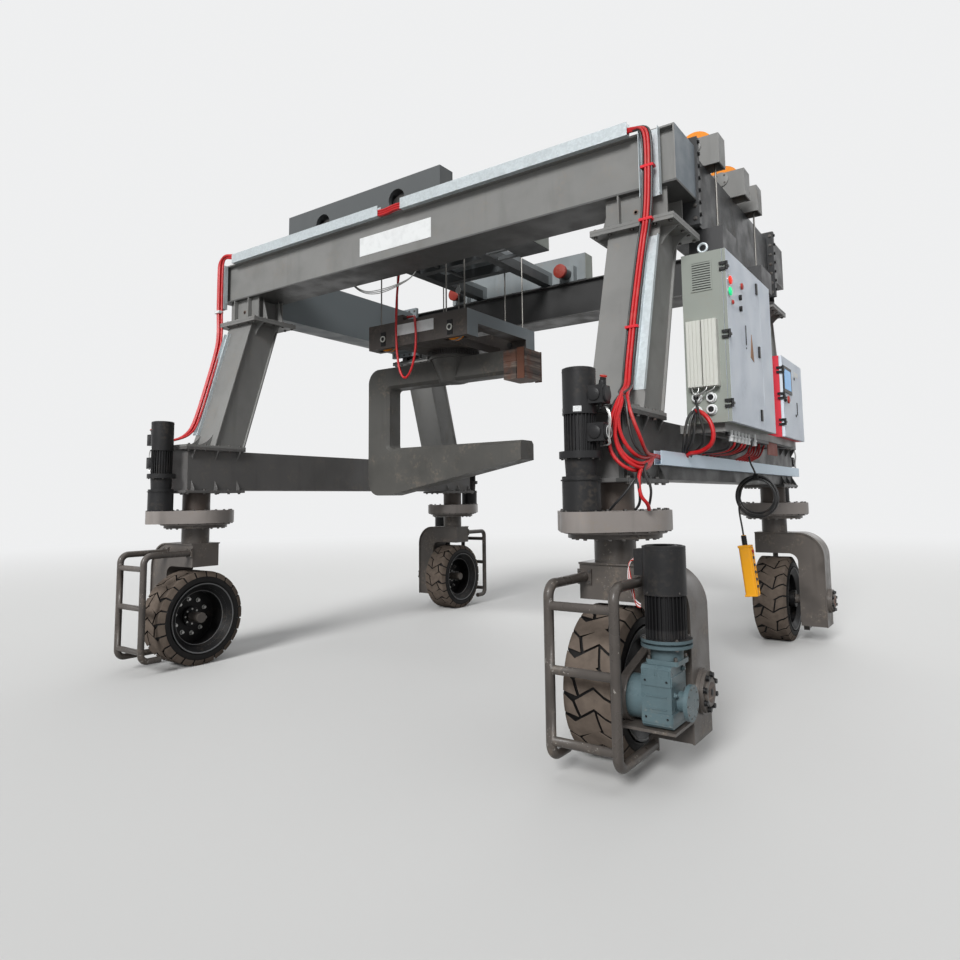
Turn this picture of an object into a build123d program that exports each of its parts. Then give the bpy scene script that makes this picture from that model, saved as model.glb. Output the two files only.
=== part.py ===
from build123d import *
import math
import os

# Rubber tyred gantry crane with a slewing C hook, in millimetres.
# +X runs along the main girders, +Y is the direction of travel, +Z is up.
# The origin is on the floor under the middle of the crane.
# Corner pieces are drawn once at the corner x > 0, y > 0 and mirrored to the others.

os.makedirs("parts", exist_ok=True)

# Stance and wheels
track_half = 2310
wheelbase_half = 2134
tyre_radius = 457
tyre_width = 356
tread_width = 300
shoulder_height = 60
bead_radius = 338
rim_lip = 14
rim_dish_radius = 262
rim_dish_depth = 70
rim_disc_x = 60
rim_disc_thickness = 26
hub_radius = 92
hub_outer = 12
hub_inner = 40
spindle_radius = 50
spindle_reach = 145
running_gap = 0.5
pick_margin = 1

# Fork, with its slewing column
fork_depth = 290
head_reach = 185
arm_thickness = 270
arm_bottom = 190
head_bottom = 960
head_top = 1190
fork_outer_round = 255
fork_inner_round = 90
fork_rim_plate = 12
fork_rim_lip = 14
axle_flange_radius = 130
axle_flange_thickness = 24
axle_ring_radius = 120
axle_ring_length = 18
axle_cap_radius = 78
axle_cap_length = 14
column_radius = 133
lower_ring_radius = 300
lower_ring_height = 28
upper_ring_radius = 330
upper_ring_height = 20

# Tube guard outside each wheel, held by arms with square flanges on the fork's head
guard_x = (2165, 2575)
guard_feet = (190, 500)
guard_y = 2750
guard_tube = 30
guard_rung_tube = 26
guard_top = 1100
guard_bottom = 135
guard_bend = 75
guard_rungs = (225, 620, 980)
guard_flange = 96
guard_flange_thickness = 14
guard_lug_width = 60
guard_lug_thickness = 14

# Drive of a driven wheel, beside the fork's arm
drive_cover_clearance = 20
drive_cover_thickness = 45
drive_cover_gap = 17
drive_cover_radius = 250
drive_pinion_y = 2460
drive_pinion_z = 470
drive_pinion_radius = 140
drive_flange_radius = 120
drive_flange_length = 100
drive_box_width = 171
drive_box_near = 2360
drive_box_depth = 230
drive_box_bottom = 345
drive_box_height = 330
drive_box_chamfer = 16
drive_band_bottoms = (12, 207)
drive_band_height = 54
drive_band_proud = 6
drive_hole_radius = 7
drive_hole_inset = 24
drive_rib_bottoms = (84, 150)
drive_rib_height = 6
drive_rib_margin = 28
drive_boss_radius = 55
drive_boss_length = 48
drive_cap_radius = 98
drive_cap_length = 24
drive_motor_x = 2760
drive_motor_y = 2465
drive_neck_plate = 186
drive_neck_plate_height = 26
drive_neck_radius = 90
drive_neck_height = 65
drive_motor_flange_radius = 143
drive_motor_flange_height = 17
drive_flange_groove_radius = 118
drive_flange_groove_height = 12
drive_motor_radius = 115
drive_motor_height = 238
drive_fin_height = 16
drive_fin_thickness = 6
drive_fin_count = 30
drive_cowl_radius = 122
drive_cowl_height = 271
drive_terminal_size = (70, 80, 150)
drive_terminal_sink = 25
drive_terminal_drop = 170
drive_shelf_thickness = 16
drive_shelf_gap = 14

# Slewing housing and the steering gearmotor on its nose
housing_radius = 365
housing_bottom = 1392
housing_height = 124
housing_nose_radius = 130
pinion_x = 2285
pinion_y = 2535
steer_box_radius = 116
steer_box_height = 211
steer_neck_radius = 92
steer_neck_height = 107
steer_flange_radius = 130
steer_flange_height = 43
steer_motor_radius = 98
steer_motor_height = 227
steer_fin_height = 14
steer_fin_thickness = 6
steer_fin_count = 26
steer_cowl_radius = 103
steer_cowl_height = 280
terminal_box = 110
terminal_box_sink = 28

# Sill beams
sill_width = 350
sill_bottom = 1716
sill_height = 404
sill_end_inset = 45
base_plate = 26
base_plate_width = 440
base_plate_depth = 685
base_plate_gap = 5
sill_gusset_steps = (90, 350, 610)
sill_gusset_height = 95
sill_gusset_edge = 18
gusset_thickness = 12

# Legs, which lean outwards going down
leg_width = 400
leg_depth = 360
leg_flange = 16
leg_web_inset = 18
leg_foot_y = 1900
leg_head_y = 1480
leg_plate = 24
leg_top = 3535
top_plate_width = 648
top_plate_depth = 563
foot_gusset_places = (-110, 110)
foot_gusset_length = 150
foot_gusset_height = 120
head_gusset_places = (-110, 110)
head_gusset_height = 130

# Main girders on their stools
girder_y = 1442
girder_width = 430
girder_height = 430
girder_bottom = 3830
girder_half_length = 2640
girder_flange = 16
girder_web_inset = 45
end_plate = 14
stool_length = 480
stool_depth = 330
stool_wall = 18
stool_pocket = 130
stool_rib_places = (-120, 120)
stool_gusset_places = (-100, 100)
stool_gusset_length = 75
rail_width = 50
rail_height = 30
rail_half_length = 2450

# End beams between the girders
end_beam_x = 2430
end_beam_width = 330
end_beam_bottom = 3700
end_beam_height = 560
end_flange_width = 460
end_flange_bottom = 3645
end_flange_height = 690
end_flange_plate = 25

# Rope sheaves on the end beam at x > 0, each box at its y
sheave_box_places = (-770, -15, 410)
sheave_box_length = 400
sheave_box_width = 170
sheave_box_height = 250
sheave_box_reach = 205
sheave_box_wall = 14
top_sheave_x = 2515
top_sheave_z = 4447
top_sheave_radius = 150
top_sheave_width = 60
sheave_groove = 12
sheave_axle_radius = 45
anchor_places = (-770, 410)
anchor_width = 380
anchor_height = 200
anchor_length = 270
anchor_reach = 88
rope_radius = 8

# Trolley on the girders
trolley_x = -630
carriage_length = 2080
carriage_width = 190
carriage_bottom = 4310
carriage_top = 4640
trolley_wheel_radius = 110
trolley_wheel_width = 80
trolley_wheel_spread = 510
wheel_cut_clearance = 14
stub_axle_radius = 35
cross_beam_width = 120
cross_beam_height = 170
cross_beam_bottom = 4290
carriage_hole_radius = 100
carriage_hole_z = 4450
long_beam_y = 480
long_beam_width = 100
travel_drive_spread = 820
travel_drive_length = 200
travel_drive_height = 200
travel_drive_depth = 90
travel_drive_bottom = 4275
travel_motor_radius = 74
travel_motor_length = 140
travel_cap_radius = 85
travel_cap_length = 40
electric_box_x = 200
electric_box_length = 360
electric_box_width = 360
electric_box_height = 180
electric_arm_y = 120
electric_arm_width = 40

# Hoists on the trolley
drum_radius = 150
drum_inner = 530
drum_outer = 610
drum_shaft_radius = 45
drum_height = 190
rope_anchor_width = 70
rope_anchor_length = 180
rope_anchor_plate = 20
bearing_width = 60
bearing_cap = 30
hoist_box_length = 340
hoist_box_width = 620
bearing_length = 260
hoist_motor_radius = 105
hoist_motor_length = 260

# Head block hanging from the trolley
head_block_half_length = 693
head_block_half_width = 667
head_block_bottom = 3280
head_block_height = 275
head_block_side_height = 130
head_block_beam = 190
block_sheave_radius = 125
block_sheave_width = 60
block_sheave_x = 470
block_sheave_drop = 105
block_pin_radius = 34
block_pin_end = 12
block_plate_half = 330
block_plate_height = 90
sheave_side_gap = 8

# Slewing ring and C hook
slew_ring_radius = 300
slew_ring_height = 62
slew_gap = 0.5
slew_flange_radius = 275
slew_tooth_count = 60
slew_tooth_width = 14
slew_tooth_height = 12
slew_tooth_margin = 8
pedestal_rib_angles = (45, 135, 225, 315)
pedestal_rib_reach = 262
pedestal_rib_thickness = 14
pedestal_top_radius = 250
pedestal_bottom_radius = 150
hook_width = 260
hook_arm_top = 3185
hook_arm_bottom = 2930
hook_arm_end = 798
hook_back_outer = 1220
hook_back_inner = 903
hook_toe = 977
tongue_top = 2212
tongue_tip_height = 205
tongue_root_height = 560
hook_outer_round = 170
hook_inner_round = 45
tongue_chamfer = 35
counterweight_length = 270
counterweight_width = 330
counterweight_height = 320
counterweight_bottom = 2858
counterweight_plates = 5
counterweight_joint = 5
strap_width = 60
strap_thickness = 12

# Cabinets on the outer side of the sill at x > 0
cabinet_back = 2562
cabinet_front = 2882
cabinet_y0 = -1396
cabinet_y1 = -131
cabinet_bottom = 2115
cabinet_top = 3358
small_cabinet_back = 2610
small_cabinet_y0 = 216
small_cabinet_y1 = 1037
small_cabinet_top = 2842
cabinet_wall = 20
door_thickness = 25
door_gap = 2
hinge_pin_radius = 5
hinge_knuckle_radius = 10
hinge_knuckle_height = 20
hinge_leaf_height = 18
hinge_leaf_length = 45
hinge_block_length = 18
hinge_offset = 10
hinge_knuckle_gap = 1
hinge_knuckle_sink = 2
hinge_pin_gap = 0.1
hinge_margin = 130
cabinet_door_edge = -470
resistor_places = (2648, 2760)
resistor_width = 104
resistor_height = 480
resistor_bottom = 2368
resistor_depth = 60
bracket_places = (-1300, -300, 320, 950)
bracket_rails = (2620, 2780)
bracket_end = 30
bracket_tube = 60

# Cable trays
tray_sheet = 4
tray_depth = 50
tray_height = 100
girder_tray_bottom = 4250
girder_tray_runs = ((-2430, -208), (74, 2300))
drop_trays = ((-2615, 110), (2398, 30), (2498, 70))
drop_tray_bottom = 3750
leg_tray_x = 2475
leg_tray_width = 75
leg_tray_depth = 34
leg_tray_bottom = 2300
leg_tray_top = 3450
sill_tray_start = -1900
sill_tray_end = 2400
sill_tray_bottom = 1810
sill_tray_height = 95
sill_tray_gap = 15
sill_tray_brackets = (-1500, -500, 500, 1500)
tray_bracket = 40

# Pendant on its hanging cable, and the loop of cable between the trolley and the head block
pendant_cable_radius = 8
pendant_coil_centre = (2645, 100, 1595)
pendant_coil_radius = 168
pendant_coil_thickness = 26
pendant_lead_in = ((2600, 60, 2040), (2600, 60, 1965), (2610, 67, 1885), (2632, 88, 1825), (2645, 100, 1778))
pendant_lead_out = ((2484, 100, 1497), (2489, 101, 1430), (2498, 100, 1370), (2506.7, 100, 1312), (2513, 100, 1252))
pendant_tilt = 6
sleeve_radius = 20
sleeve_length = 90
pendant_length = 440
pendant_width = 105
pendant_depth = 80
pendant_round = 22
gland_radius = 22
loop_cable_radius = 13
loop_route = (
    (-800, -570, 4325), (-800, -650, 4325), (-808, -708, 4235), (-826, -718, 4060), (-850, -722, 3850),
    (-864, -720, 3600), (-862, -722, 3360), (-845, -720, 3140), (-805, -722, 2965), (-735, -720, 2885),
    (-655, -722, 2955), (-600, -720, 3105), (-575, -722, 3290), (-590, -716, 3450), (-630, -680, 3560),
    (-700, -605, 3603), (-800, -605, 3603),
)
loop_box_size = (90, 80, 74)
loop_gland_length = 30
arc_share = 0.45

corners = (("a", -1, -1), ("b", 1, -1), ("c", 1, 1), ("d", -1, 1))


def corner_copy(piece, side, end):
    """Return the piece of the corner x > 0, y > 0 mirrored to another corner."""
    copy = piece
    if side < 0:
        copy = mirror(copy, about=Plane.YZ)
    if end < 0:
        copy = mirror(copy, about=Plane.XZ)
    return copy


sill_face = track_half + sill_width / 2
base_plate_outer = pinion_y - steer_flange_radius - base_plate_gap
sill_half_length = base_plate_outer - sill_end_inset
rope_x = top_sheave_x + top_sheave_radius - sheave_groove + rope_radius + running_gap
anchor_outer = rope_x + anchor_reach
sheave_box_outer = top_sheave_x + sheave_box_reach
fork_inner = track_half - head_reach
drive_cover_inner = track_half + tyre_width / 2 + drive_cover_clearance
drive_cover_outer = drive_cover_inner + drive_cover_thickness
arm_inner = drive_cover_outer + drive_cover_gap
arm_outer = arm_inner + arm_thickness
drive_box_inner = drive_cover_outer + drive_flange_length
drive_box_outer = drive_box_inner + drive_box_width
drive_box_far = drive_box_near + drive_box_depth

# Sill beams, with the bolted plates that the columns and legs stand on
with BuildPart() as sills:
    with BuildSketch(Plane.XZ.offset(-sill_half_length)):
        with Locations((track_half, sill_bottom + sill_height / 2)):
            Rectangle(sill_width, sill_height)
    extrude(amount=2 * sill_half_length)
    plate_y = base_plate_outer - base_plate_depth / 2
    for plate_bottom in (sill_bottom - base_plate, sill_bottom + sill_height):
        with BuildSketch(Plane.XY.offset(plate_bottom)):
            with Locations((track_half, plate_y), (track_half, -plate_y)):
                Rectangle(base_plate_width, base_plate_depth)
        extrude(amount=base_plate)
    sill_top = sill_bottom + sill_height
    gusset_reach = (base_plate_width - sill_width) / 2
    for gusset_step in sill_gusset_steps:
        gusset_y = base_plate_outer - gusset_step
        for side in (-1, 1):
            face_x = track_half + side * sill_width / 2
            edge_x = face_x + side * gusset_reach
            for level, rise in ((sill_top, -1), (sill_bottom, 1)):
                with BuildSketch(Plane.XZ.offset(-gusset_y)):
                    with BuildLine():
                        Polyline(
                            (face_x, level),
                            (edge_x, level),
                            (edge_x, level + rise * sill_gusset_edge),
                            (face_x, level + rise * sill_gusset_height),
                            close=True,
                        )
                    make_face()
                extrude(amount=gusset_thickness)
    mirror(about=Plane.XZ)
    mirror(about=Plane.YZ)
sills.part.label = "sills"
export_step(sills.part, "parts/sills.step")

# Legs: box sections with overhanging flange plates, a foot plate and a head plate
leg_foot = sill_bottom + sill_height + base_plate
leg_slope = (leg_foot_y - leg_head_y) / (leg_top - leg_foot)
with BuildPart() as legs:
    leg_pieces = (
        # half width along x, near edge and far edge of the section along y
        (leg_width / 2, -leg_depth / 2, leg_flange - leg_depth / 2),
        (leg_width / 2, leg_depth / 2 - leg_flange, leg_depth / 2),
        (leg_width / 2 - leg_web_inset, -leg_depth / 2, leg_depth / 2),
    )
    for half_width, near_edge, far_edge in leg_pieces:
        with BuildSketch(Plane.YZ.offset(track_half - half_width)):
            with BuildLine():
                Polyline(
                    (leg_foot_y + near_edge, leg_foot),
                    (leg_foot_y + far_edge, leg_foot),
                    (leg_head_y + far_edge, leg_top),
                    (leg_head_y + near_edge, leg_top),
                    close=True,
                )
            make_face()
        extrude(amount=2 * half_width)
    with BuildSketch(Plane.XY.offset(leg_foot)):
        with Locations((track_half, plate_y)):
            Rectangle(base_plate_width, base_plate_depth)
    extrude(amount=leg_plate)
    with BuildSketch(Plane.XY.offset(leg_top)):
        with Locations((track_half, girder_y)):
            Rectangle(top_plate_width, top_plate_depth)
    extrude(amount=leg_plate)
    foot_top = leg_foot + leg_plate
    foot_face = leg_foot_y + leg_depth / 2
    for gusset_x in foot_gusset_places:
        with BuildSketch(Plane.YZ.offset(track_half + gusset_x - gusset_thickness / 2)):
            with BuildLine():
                corner = (foot_face + foot_gusset_length, foot_top)
                crown = (foot_face - leg_slope * foot_gusset_height, foot_top + foot_gusset_height)
                Line((foot_face - leg_flange, foot_top), corner)
                RadiusArc(corner, crown, foot_gusset_length + foot_gusset_height)
                Line(crown, (foot_face - leg_flange - leg_slope * foot_gusset_height, foot_top + foot_gusset_height))
                Line((foot_face - leg_flange - leg_slope * foot_gusset_height, foot_top + foot_gusset_height),
                     (foot_face - leg_flange, foot_top))
            make_face()
        extrude(amount=gusset_thickness)
    leg_side = leg_width / 2 - leg_web_inset
    for side in (-1, 1):
        for gusset_y in head_gusset_places:
            with BuildSketch(Plane.XZ.offset(-leg_head_y - gusset_y - gusset_thickness / 2)):
                with BuildLine():
                    near = (track_half + side * leg_side, leg_top - head_gusset_height)
                    far = (track_half + side * top_plate_width / 2, leg_top)
                    Line((track_half + side * leg_side, leg_top), near)
                    RadiusArc(near, far, side * (head_gusset_height + top_plate_width / 2 - leg_side))
                    Line(far, (track_half + side * leg_side, leg_top))
                make_face()
            extrude(amount=gusset_thickness)
    mirror(about=Plane.YZ)
    mirror(about=Plane.XZ)
legs.part.label = "legs"
export_step(legs.part, "parts/legs.step")

# Girders: box section with overhanging flanges, end plates, stools and rails
stool_bottom = leg_top + leg_plate
with BuildPart() as girders:
    with BuildSketch(Plane.YZ.offset(-girder_half_length)):
        with Locations((girder_y, girder_bottom + girder_height / 2)):
            Rectangle(girder_width - 2 * girder_web_inset, girder_height)
        with Locations((girder_y, girder_bottom + girder_flange / 2),
                       (girder_y, girder_bottom + girder_height - girder_flange / 2)):
            Rectangle(girder_width, girder_flange)
    extrude(amount=2 * girder_half_length)
    for end_x in (-girder_half_length, girder_half_length - end_plate):
        with BuildSketch(Plane.YZ.offset(end_x)):
            with Locations((girder_y, girder_bottom + girder_height / 2)):
                Rectangle(girder_width, girder_height)
        extrude(amount=end_plate)
    with BuildSketch(Plane.XY.offset(stool_bottom)):
        with Locations((track_half, girder_y), (-track_half, girder_y)):
            Rectangle(top_plate_width, top_plate_depth)
    extrude(amount=leg_plate)
    with BuildSketch(Plane.XY.offset(stool_bottom)):
        with Locations((track_half, girder_y), (-track_half, girder_y)):
            Rectangle(stool_length, stool_depth)
            with Locations((stool_length / 2 - stool_pocket / 2, 0), (stool_pocket / 2 - stool_length / 2, 0)):
                Rectangle(stool_pocket, stool_depth - 2 * stool_wall, mode=Mode.SUBTRACT)
        with Locations((track_half, girder_y)):
            for rib_x in stool_rib_places:
                with Locations((rib_x, 0)):
                    Rectangle(gusset_thickness, girder_width)
        with Locations((-track_half, girder_y)):
            for rib_x in stool_rib_places:
                with Locations((rib_x, 0)):
                    Rectangle(gusset_thickness, girder_width)
    extrude(amount=girder_bottom - stool_bottom)
    for side in (-1, 1):
        stool_end = side * (track_half - stool_length / 2)
        for gusset_y in stool_gusset_places:
            with BuildSketch(Plane.XZ.offset(-girder_y - gusset_y - gusset_thickness / 2)):
                with BuildLine():
                    Polyline(
                        (stool_end, stool_bottom + leg_plate),
                        (stool_end - side * stool_gusset_length, stool_bottom + leg_plate),
                        (stool_end, girder_bottom),
                        close=True,
                    )
                make_face()
            extrude(amount=gusset_thickness)
    with BuildSketch(Plane.XY.offset(girder_bottom + girder_height)):
        with Locations((0, girder_y)):
            Rectangle(2 * rail_half_length, rail_width)
    extrude(amount=rail_height)
    mirror(about=Plane.XZ)
girders.part.label = "girders"
export_step(girders.part, "parts/girders.step")

# End beams between the girders, bolted through drilled flange plates
with BuildPart() as end_beams:
    flange_face = girder_y - girder_width / 2
    beam_half_length = flange_face - 2 * end_flange_plate
    with BuildSketch(Plane.XZ.offset(-beam_half_length)):
        with Locations((end_beam_x, end_beam_bottom + end_beam_height / 2)):
            Rectangle(end_beam_width, end_beam_height)
    extrude(amount=2 * beam_half_length)
    with BuildSketch(Plane.XZ.offset(-flange_face)):
        with Locations((end_beam_x, end_flange_bottom + end_flange_height / 2)):
            Rectangle(end_flange_width, end_flange_height)
    extrude(amount=2 * end_flange_plate)
    with BuildSketch(Plane.XZ.offset(flange_face - 2 * end_flange_plate)):
        with Locations((end_beam_x, end_flange_bottom + end_flange_height / 2)):
            Rectangle(end_flange_width, end_flange_height)
    extrude(amount=2 * end_flange_plate)
    mirror(about=Plane.YZ)
end_beams.part.label = "end_beams"
export_step(end_beams.part, "parts/end_beams.step")

# Slewing housings: a drum with a nose under the steering pinion, and the column above
with BuildPart() as slew_housings:
    with BuildSketch(Plane.XY.offset(housing_bottom)):
        with Locations((track_half, wheelbase_half)):
            Circle(housing_radius)
        with Locations((pinion_x, pinion_y)):
            Circle(housing_nose_radius)
        make_hull()
    extrude(amount=housing_height)
    with BuildSketch(Plane.XY.offset(housing_bottom - upper_ring_height)):
        with Locations((track_half, wheelbase_half)):
            Circle(upper_ring_radius)
    extrude(amount=upper_ring_height)
    housing_top = housing_bottom + housing_height
    with BuildSketch(Plane.XY.offset(housing_top)):
        with Locations((track_half, wheelbase_half)):
            Circle(column_radius)
    extrude(amount=sill_bottom - base_plate - housing_top)
    mirror(about=Plane.YZ)
    mirror(about=Plane.XZ)
slew_housings.part.label = "slew_housings"
export_step(slew_housings.part, "parts/slew_housings.step")

# Steering gearmotors: gearbox, neck, flange, finned motor and cowl, stacked from a table
gearmotor_stack = (
    # radius at the bottom, radius at the top, height
    (steer_box_radius, steer_box_radius, steer_box_height),
    (steer_neck_radius, steer_motor_radius, steer_neck_height),
    (steer_flange_radius, steer_flange_radius, steer_flange_height),
    (steer_motor_radius - steer_fin_height, steer_motor_radius - steer_fin_height, steer_motor_height),
    (steer_cowl_radius, steer_cowl_radius, steer_cowl_height),
)
with BuildPart() as steering_gearmotors:
    with BuildSketch(Plane.XZ.offset(-pinion_y)):
        with BuildLine():
            level = housing_top
            outline = [(pinion_x, level)]
            for lower_radius, upper_radius, height in gearmotor_stack:
                outline.append((pinion_x + lower_radius, level))
                level += height
                outline.append((pinion_x + upper_radius, level))
            outline.append((pinion_x, level))
            Polyline(*outline, close=True)
        make_face()
    revolve(axis=Axis((pinion_x, pinion_y, 0), (0, 0, 1)))
    with BuildSketch(Plane.XY.offset(level - steer_cowl_height - steer_motor_height)):
        with Locations((pinion_x, pinion_y)):
            with PolarLocations(steer_motor_radius - steer_fin_height, steer_fin_count):
                Rectangle(2 * steer_fin_height, steer_fin_thickness)
    extrude(amount=steer_motor_height)
    for box_level in (level - steer_cowl_height, level - steer_cowl_height - steer_motor_height):
        with Locations((pinion_x + steer_motor_radius + terminal_box_sink, pinion_y, box_level + terminal_box)):
            Box(terminal_box, terminal_box, terminal_box)
    mirror(about=Plane.YZ)
    mirror(about=Plane.XZ)
steering_gearmotors.part.label = "steering_gearmotors"
export_step(steering_gearmotors.part, "parts/steering_gearmotors.step")

# Fork: one bent box arm outside the wheel, with its slewing column, axle flange and spindle
fork_face = wheelbase_half + fork_depth / 2
lower_ring_top = housing_bottom - upper_ring_height - running_gap
with BuildSketch() as fork_outline:
    with BuildLine():
        Polyline(
            (fork_inner, head_bottom),
            (arm_inner, head_bottom),
            (arm_inner, arm_bottom),
            (arm_outer, arm_bottom),
            (arm_outer, head_top),
            (fork_inner, head_top),
            close=True,
        )
    make_face()
    fillet(vertices().group_by(Axis.X)[-1].sort_by(Axis.Y)[-1], fork_outer_round)
    inner_corner = vertices().filter_by_position(Axis.X, arm_inner - pick_margin, arm_inner + pick_margin)
    fillet(inner_corner.sort_by(Axis.Y)[-1], fork_inner_round)
with BuildSketch() as fork_rim:
    add(fork_outline.sketch)
    with Locations((-fork_rim_plate, -fork_rim_plate)):
        add(fork_outline.sketch, mode=Mode.SUBTRACT)
with BuildPart() as fork:
    with BuildSketch(Plane.XZ.offset(-fork_face)):
        add(fork_outline.sketch)
    extrude(amount=fork_depth)
    with BuildSketch(Plane.XZ.offset(-fork_face - fork_rim_lip)):
        add(fork_rim.sketch)
    extrude(amount=fork_depth + 2 * fork_rim_lip)
    with BuildSketch(Plane.XY.offset(head_top)):
        with Locations((track_half, wheelbase_half)):
            Circle(column_radius)
    extrude(amount=lower_ring_top - lower_ring_height - head_top)
    with BuildSketch(Plane.XY.offset(lower_ring_top - lower_ring_height)):
        with Locations((track_half, wheelbase_half)):
            Circle(lower_ring_radius)
    extrude(amount=lower_ring_height)
    axle_steps = (
        # radius, x of the near end, length
        (axle_flange_radius, arm_outer, axle_flange_thickness),
        (axle_ring_radius, arm_outer + axle_flange_thickness, axle_ring_length),
        (axle_cap_radius, arm_outer + axle_flange_thickness + axle_ring_length, axle_cap_length),
        (spindle_radius, track_half - spindle_reach, arm_inner - track_half + spindle_reach),
    )
    for radius, near_end, length in axle_steps:
        with BuildSketch(Plane.YZ.offset(near_end)):
            with Locations((wheelbase_half, tyre_radius)):
                Circle(radius)
        extrude(amount=length)

# Driven fork: the same, with the gear cover between the wheel and the arm, and the drive's shelf
with BuildPart() as driven_fork:
    add(fork.part)
    with BuildSketch(Plane.YZ.offset(drive_cover_inner)):
        with Locations((wheelbase_half, tyre_radius)):
            Circle(drive_cover_radius)
        with Locations((drive_pinion_y, drive_pinion_z)):
            Circle(drive_pinion_radius)
        make_hull()
    extrude(amount=drive_cover_outer - drive_cover_inner)
    with BuildSketch(Plane.YZ.offset(drive_cover_outer)):
        with Locations((wheelbase_half, tyre_radius)):
            Circle(axle_flange_radius)
    extrude(amount=arm_inner - drive_cover_outer)
    with BuildSketch(Plane.XY.offset(drive_box_bottom - drive_shelf_gap - drive_shelf_thickness)):
        with Locations(((drive_cover_inner + arm_outer) / 2, (fork_face + drive_box_far) / 2)):
            Rectangle(arm_outer - drive_cover_inner, drive_box_far - fork_face)
    extrude(amount=drive_shelf_thickness)
for name, side, end in corners:
    fork_copy = corner_copy(driven_fork.part if side * end < 0 else fork.part, side, end)
    fork_copy.label = f"fork_{name}"
    export_step(fork_copy, f"parts/fork_{name}.step")

# Drive gearbox: a cast housing with raised bands on its face, flanged to the gear cover
with BuildPart() as drive_gearbox:
    with BuildSketch(Plane.XY.offset(drive_box_bottom)):
        with Locations(((drive_box_inner + drive_box_outer) / 2, (drive_box_near + drive_box_far) / 2)):
            Rectangle(drive_box_width, drive_box_depth)
    extrude(amount=drive_box_height)
    chamfer(edges().filter_by(Axis.X), drive_box_chamfer)
    with BuildSketch(Plane.XZ.offset(-drive_box_far)):
        for band_bottom in drive_band_bottoms:
            band_z = drive_box_bottom + drive_box_chamfer + band_bottom + drive_band_height / 2
            with Locations(((drive_box_inner + drive_box_outer) / 2, band_z)):
                Rectangle(drive_box_width, drive_band_height)
                with GridLocations(drive_box_width - 2 * drive_hole_inset, 1, 2, 1):
                    Circle(drive_hole_radius, mode=Mode.SUBTRACT)
        for rib_bottom in drive_rib_bottoms:
            rib_z = drive_box_bottom + drive_box_chamfer + rib_bottom + drive_rib_height / 2
            with Locations(((drive_box_inner + drive_box_outer) / 2, rib_z)):
                Rectangle(drive_box_width - 2 * drive_rib_margin, drive_rib_height)
    extrude(amount=-drive_band_proud)
    housing_bosses = (
        # radius, x of the near end, length
        (drive_flange_radius, drive_cover_outer, drive_flange_length),
        (drive_boss_radius, drive_box_outer, drive_boss_length),
        (drive_cap_radius, drive_box_outer + drive_boss_length, drive_cap_length),
    )
    for radius, near_end, length in housing_bosses:
        with BuildSketch(Plane.YZ.offset(near_end)):
            with Locations((drive_pinion_y, drive_pinion_z)):
                Circle(radius)
        extrude(amount=length)
    with BuildSketch(Plane.XY.offset(drive_box_bottom + drive_box_height)):
        with Locations((drive_motor_x, drive_motor_y)):
            RectangleRounded(drive_neck_plate, drive_neck_plate, drive_box_chamfer)
    extrude(amount=drive_neck_plate_height)
for name, side, end in corners:
    if side * end < 0:
        gearbox_copy = corner_copy(drive_gearbox.part, side, end)
        gearbox_copy.label = f"drive_gearbox_{name}"
        export_step(gearbox_copy, f"parts/drive_gearbox_{name}.step")

# Drive motor: neck, flange, finned body and fan cowl, turned in one piece on the gearbox
drive_motor_stack = (
    # radius at the bottom, radius at the top, height
    (drive_neck_radius, drive_neck_radius, drive_neck_height),
    (drive_motor_flange_radius, drive_motor_flange_radius, drive_motor_flange_height),
    (drive_flange_groove_radius, drive_flange_groove_radius, drive_flange_groove_height),
    (drive_motor_flange_radius, drive_motor_flange_radius, drive_motor_flange_height),
    (drive_motor_radius - drive_fin_height, drive_motor_radius - drive_fin_height, drive_motor_height),
    (drive_cowl_radius, drive_cowl_radius, drive_cowl_height),
)
with BuildPart() as drive_motor:
    with BuildSketch(Plane.XZ.offset(-drive_motor_y)):
        with BuildLine():
            level = drive_box_bottom + drive_box_height + drive_neck_plate_height
            outline = [(drive_motor_x, level)]
            for lower_radius, upper_radius, height in drive_motor_stack:
                outline.append((drive_motor_x + lower_radius, level))
                level += height
                outline.append((drive_motor_x + upper_radius, level))
            outline.append((drive_motor_x, level))
            Polyline(*outline, close=True)
        make_face()
    revolve(axis=Axis((drive_motor_x, drive_motor_y, 0), (0, 0, 1)))
    with BuildSketch(Plane.XY.offset(level - drive_cowl_height - drive_motor_height)):
        with Locations((drive_motor_x, drive_motor_y)):
            with PolarLocations(drive_motor_radius - drive_fin_height, drive_fin_count):
                Rectangle(2 * drive_fin_height, drive_fin_thickness)
    extrude(amount=drive_motor_height)
    terminal_length, terminal_width, terminal_height = drive_terminal_size
    terminal_x = drive_motor_x - drive_cowl_radius + drive_terminal_sink - terminal_length / 2
    with BuildSketch(Plane.XY.offset(level - drive_terminal_drop)):
        with Locations((terminal_x, drive_motor_y)):
            Rectangle(terminal_length, terminal_width)
    extrude(amount=terminal_height)
for name, side, end in corners:
    if side * end < 0:
        motor_copy = corner_copy(drive_motor.part, side, end)
        motor_copy.label = f"drive_motor_{name}"
        export_step(motor_copy, f"parts/drive_motor_{name}.step")

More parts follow.
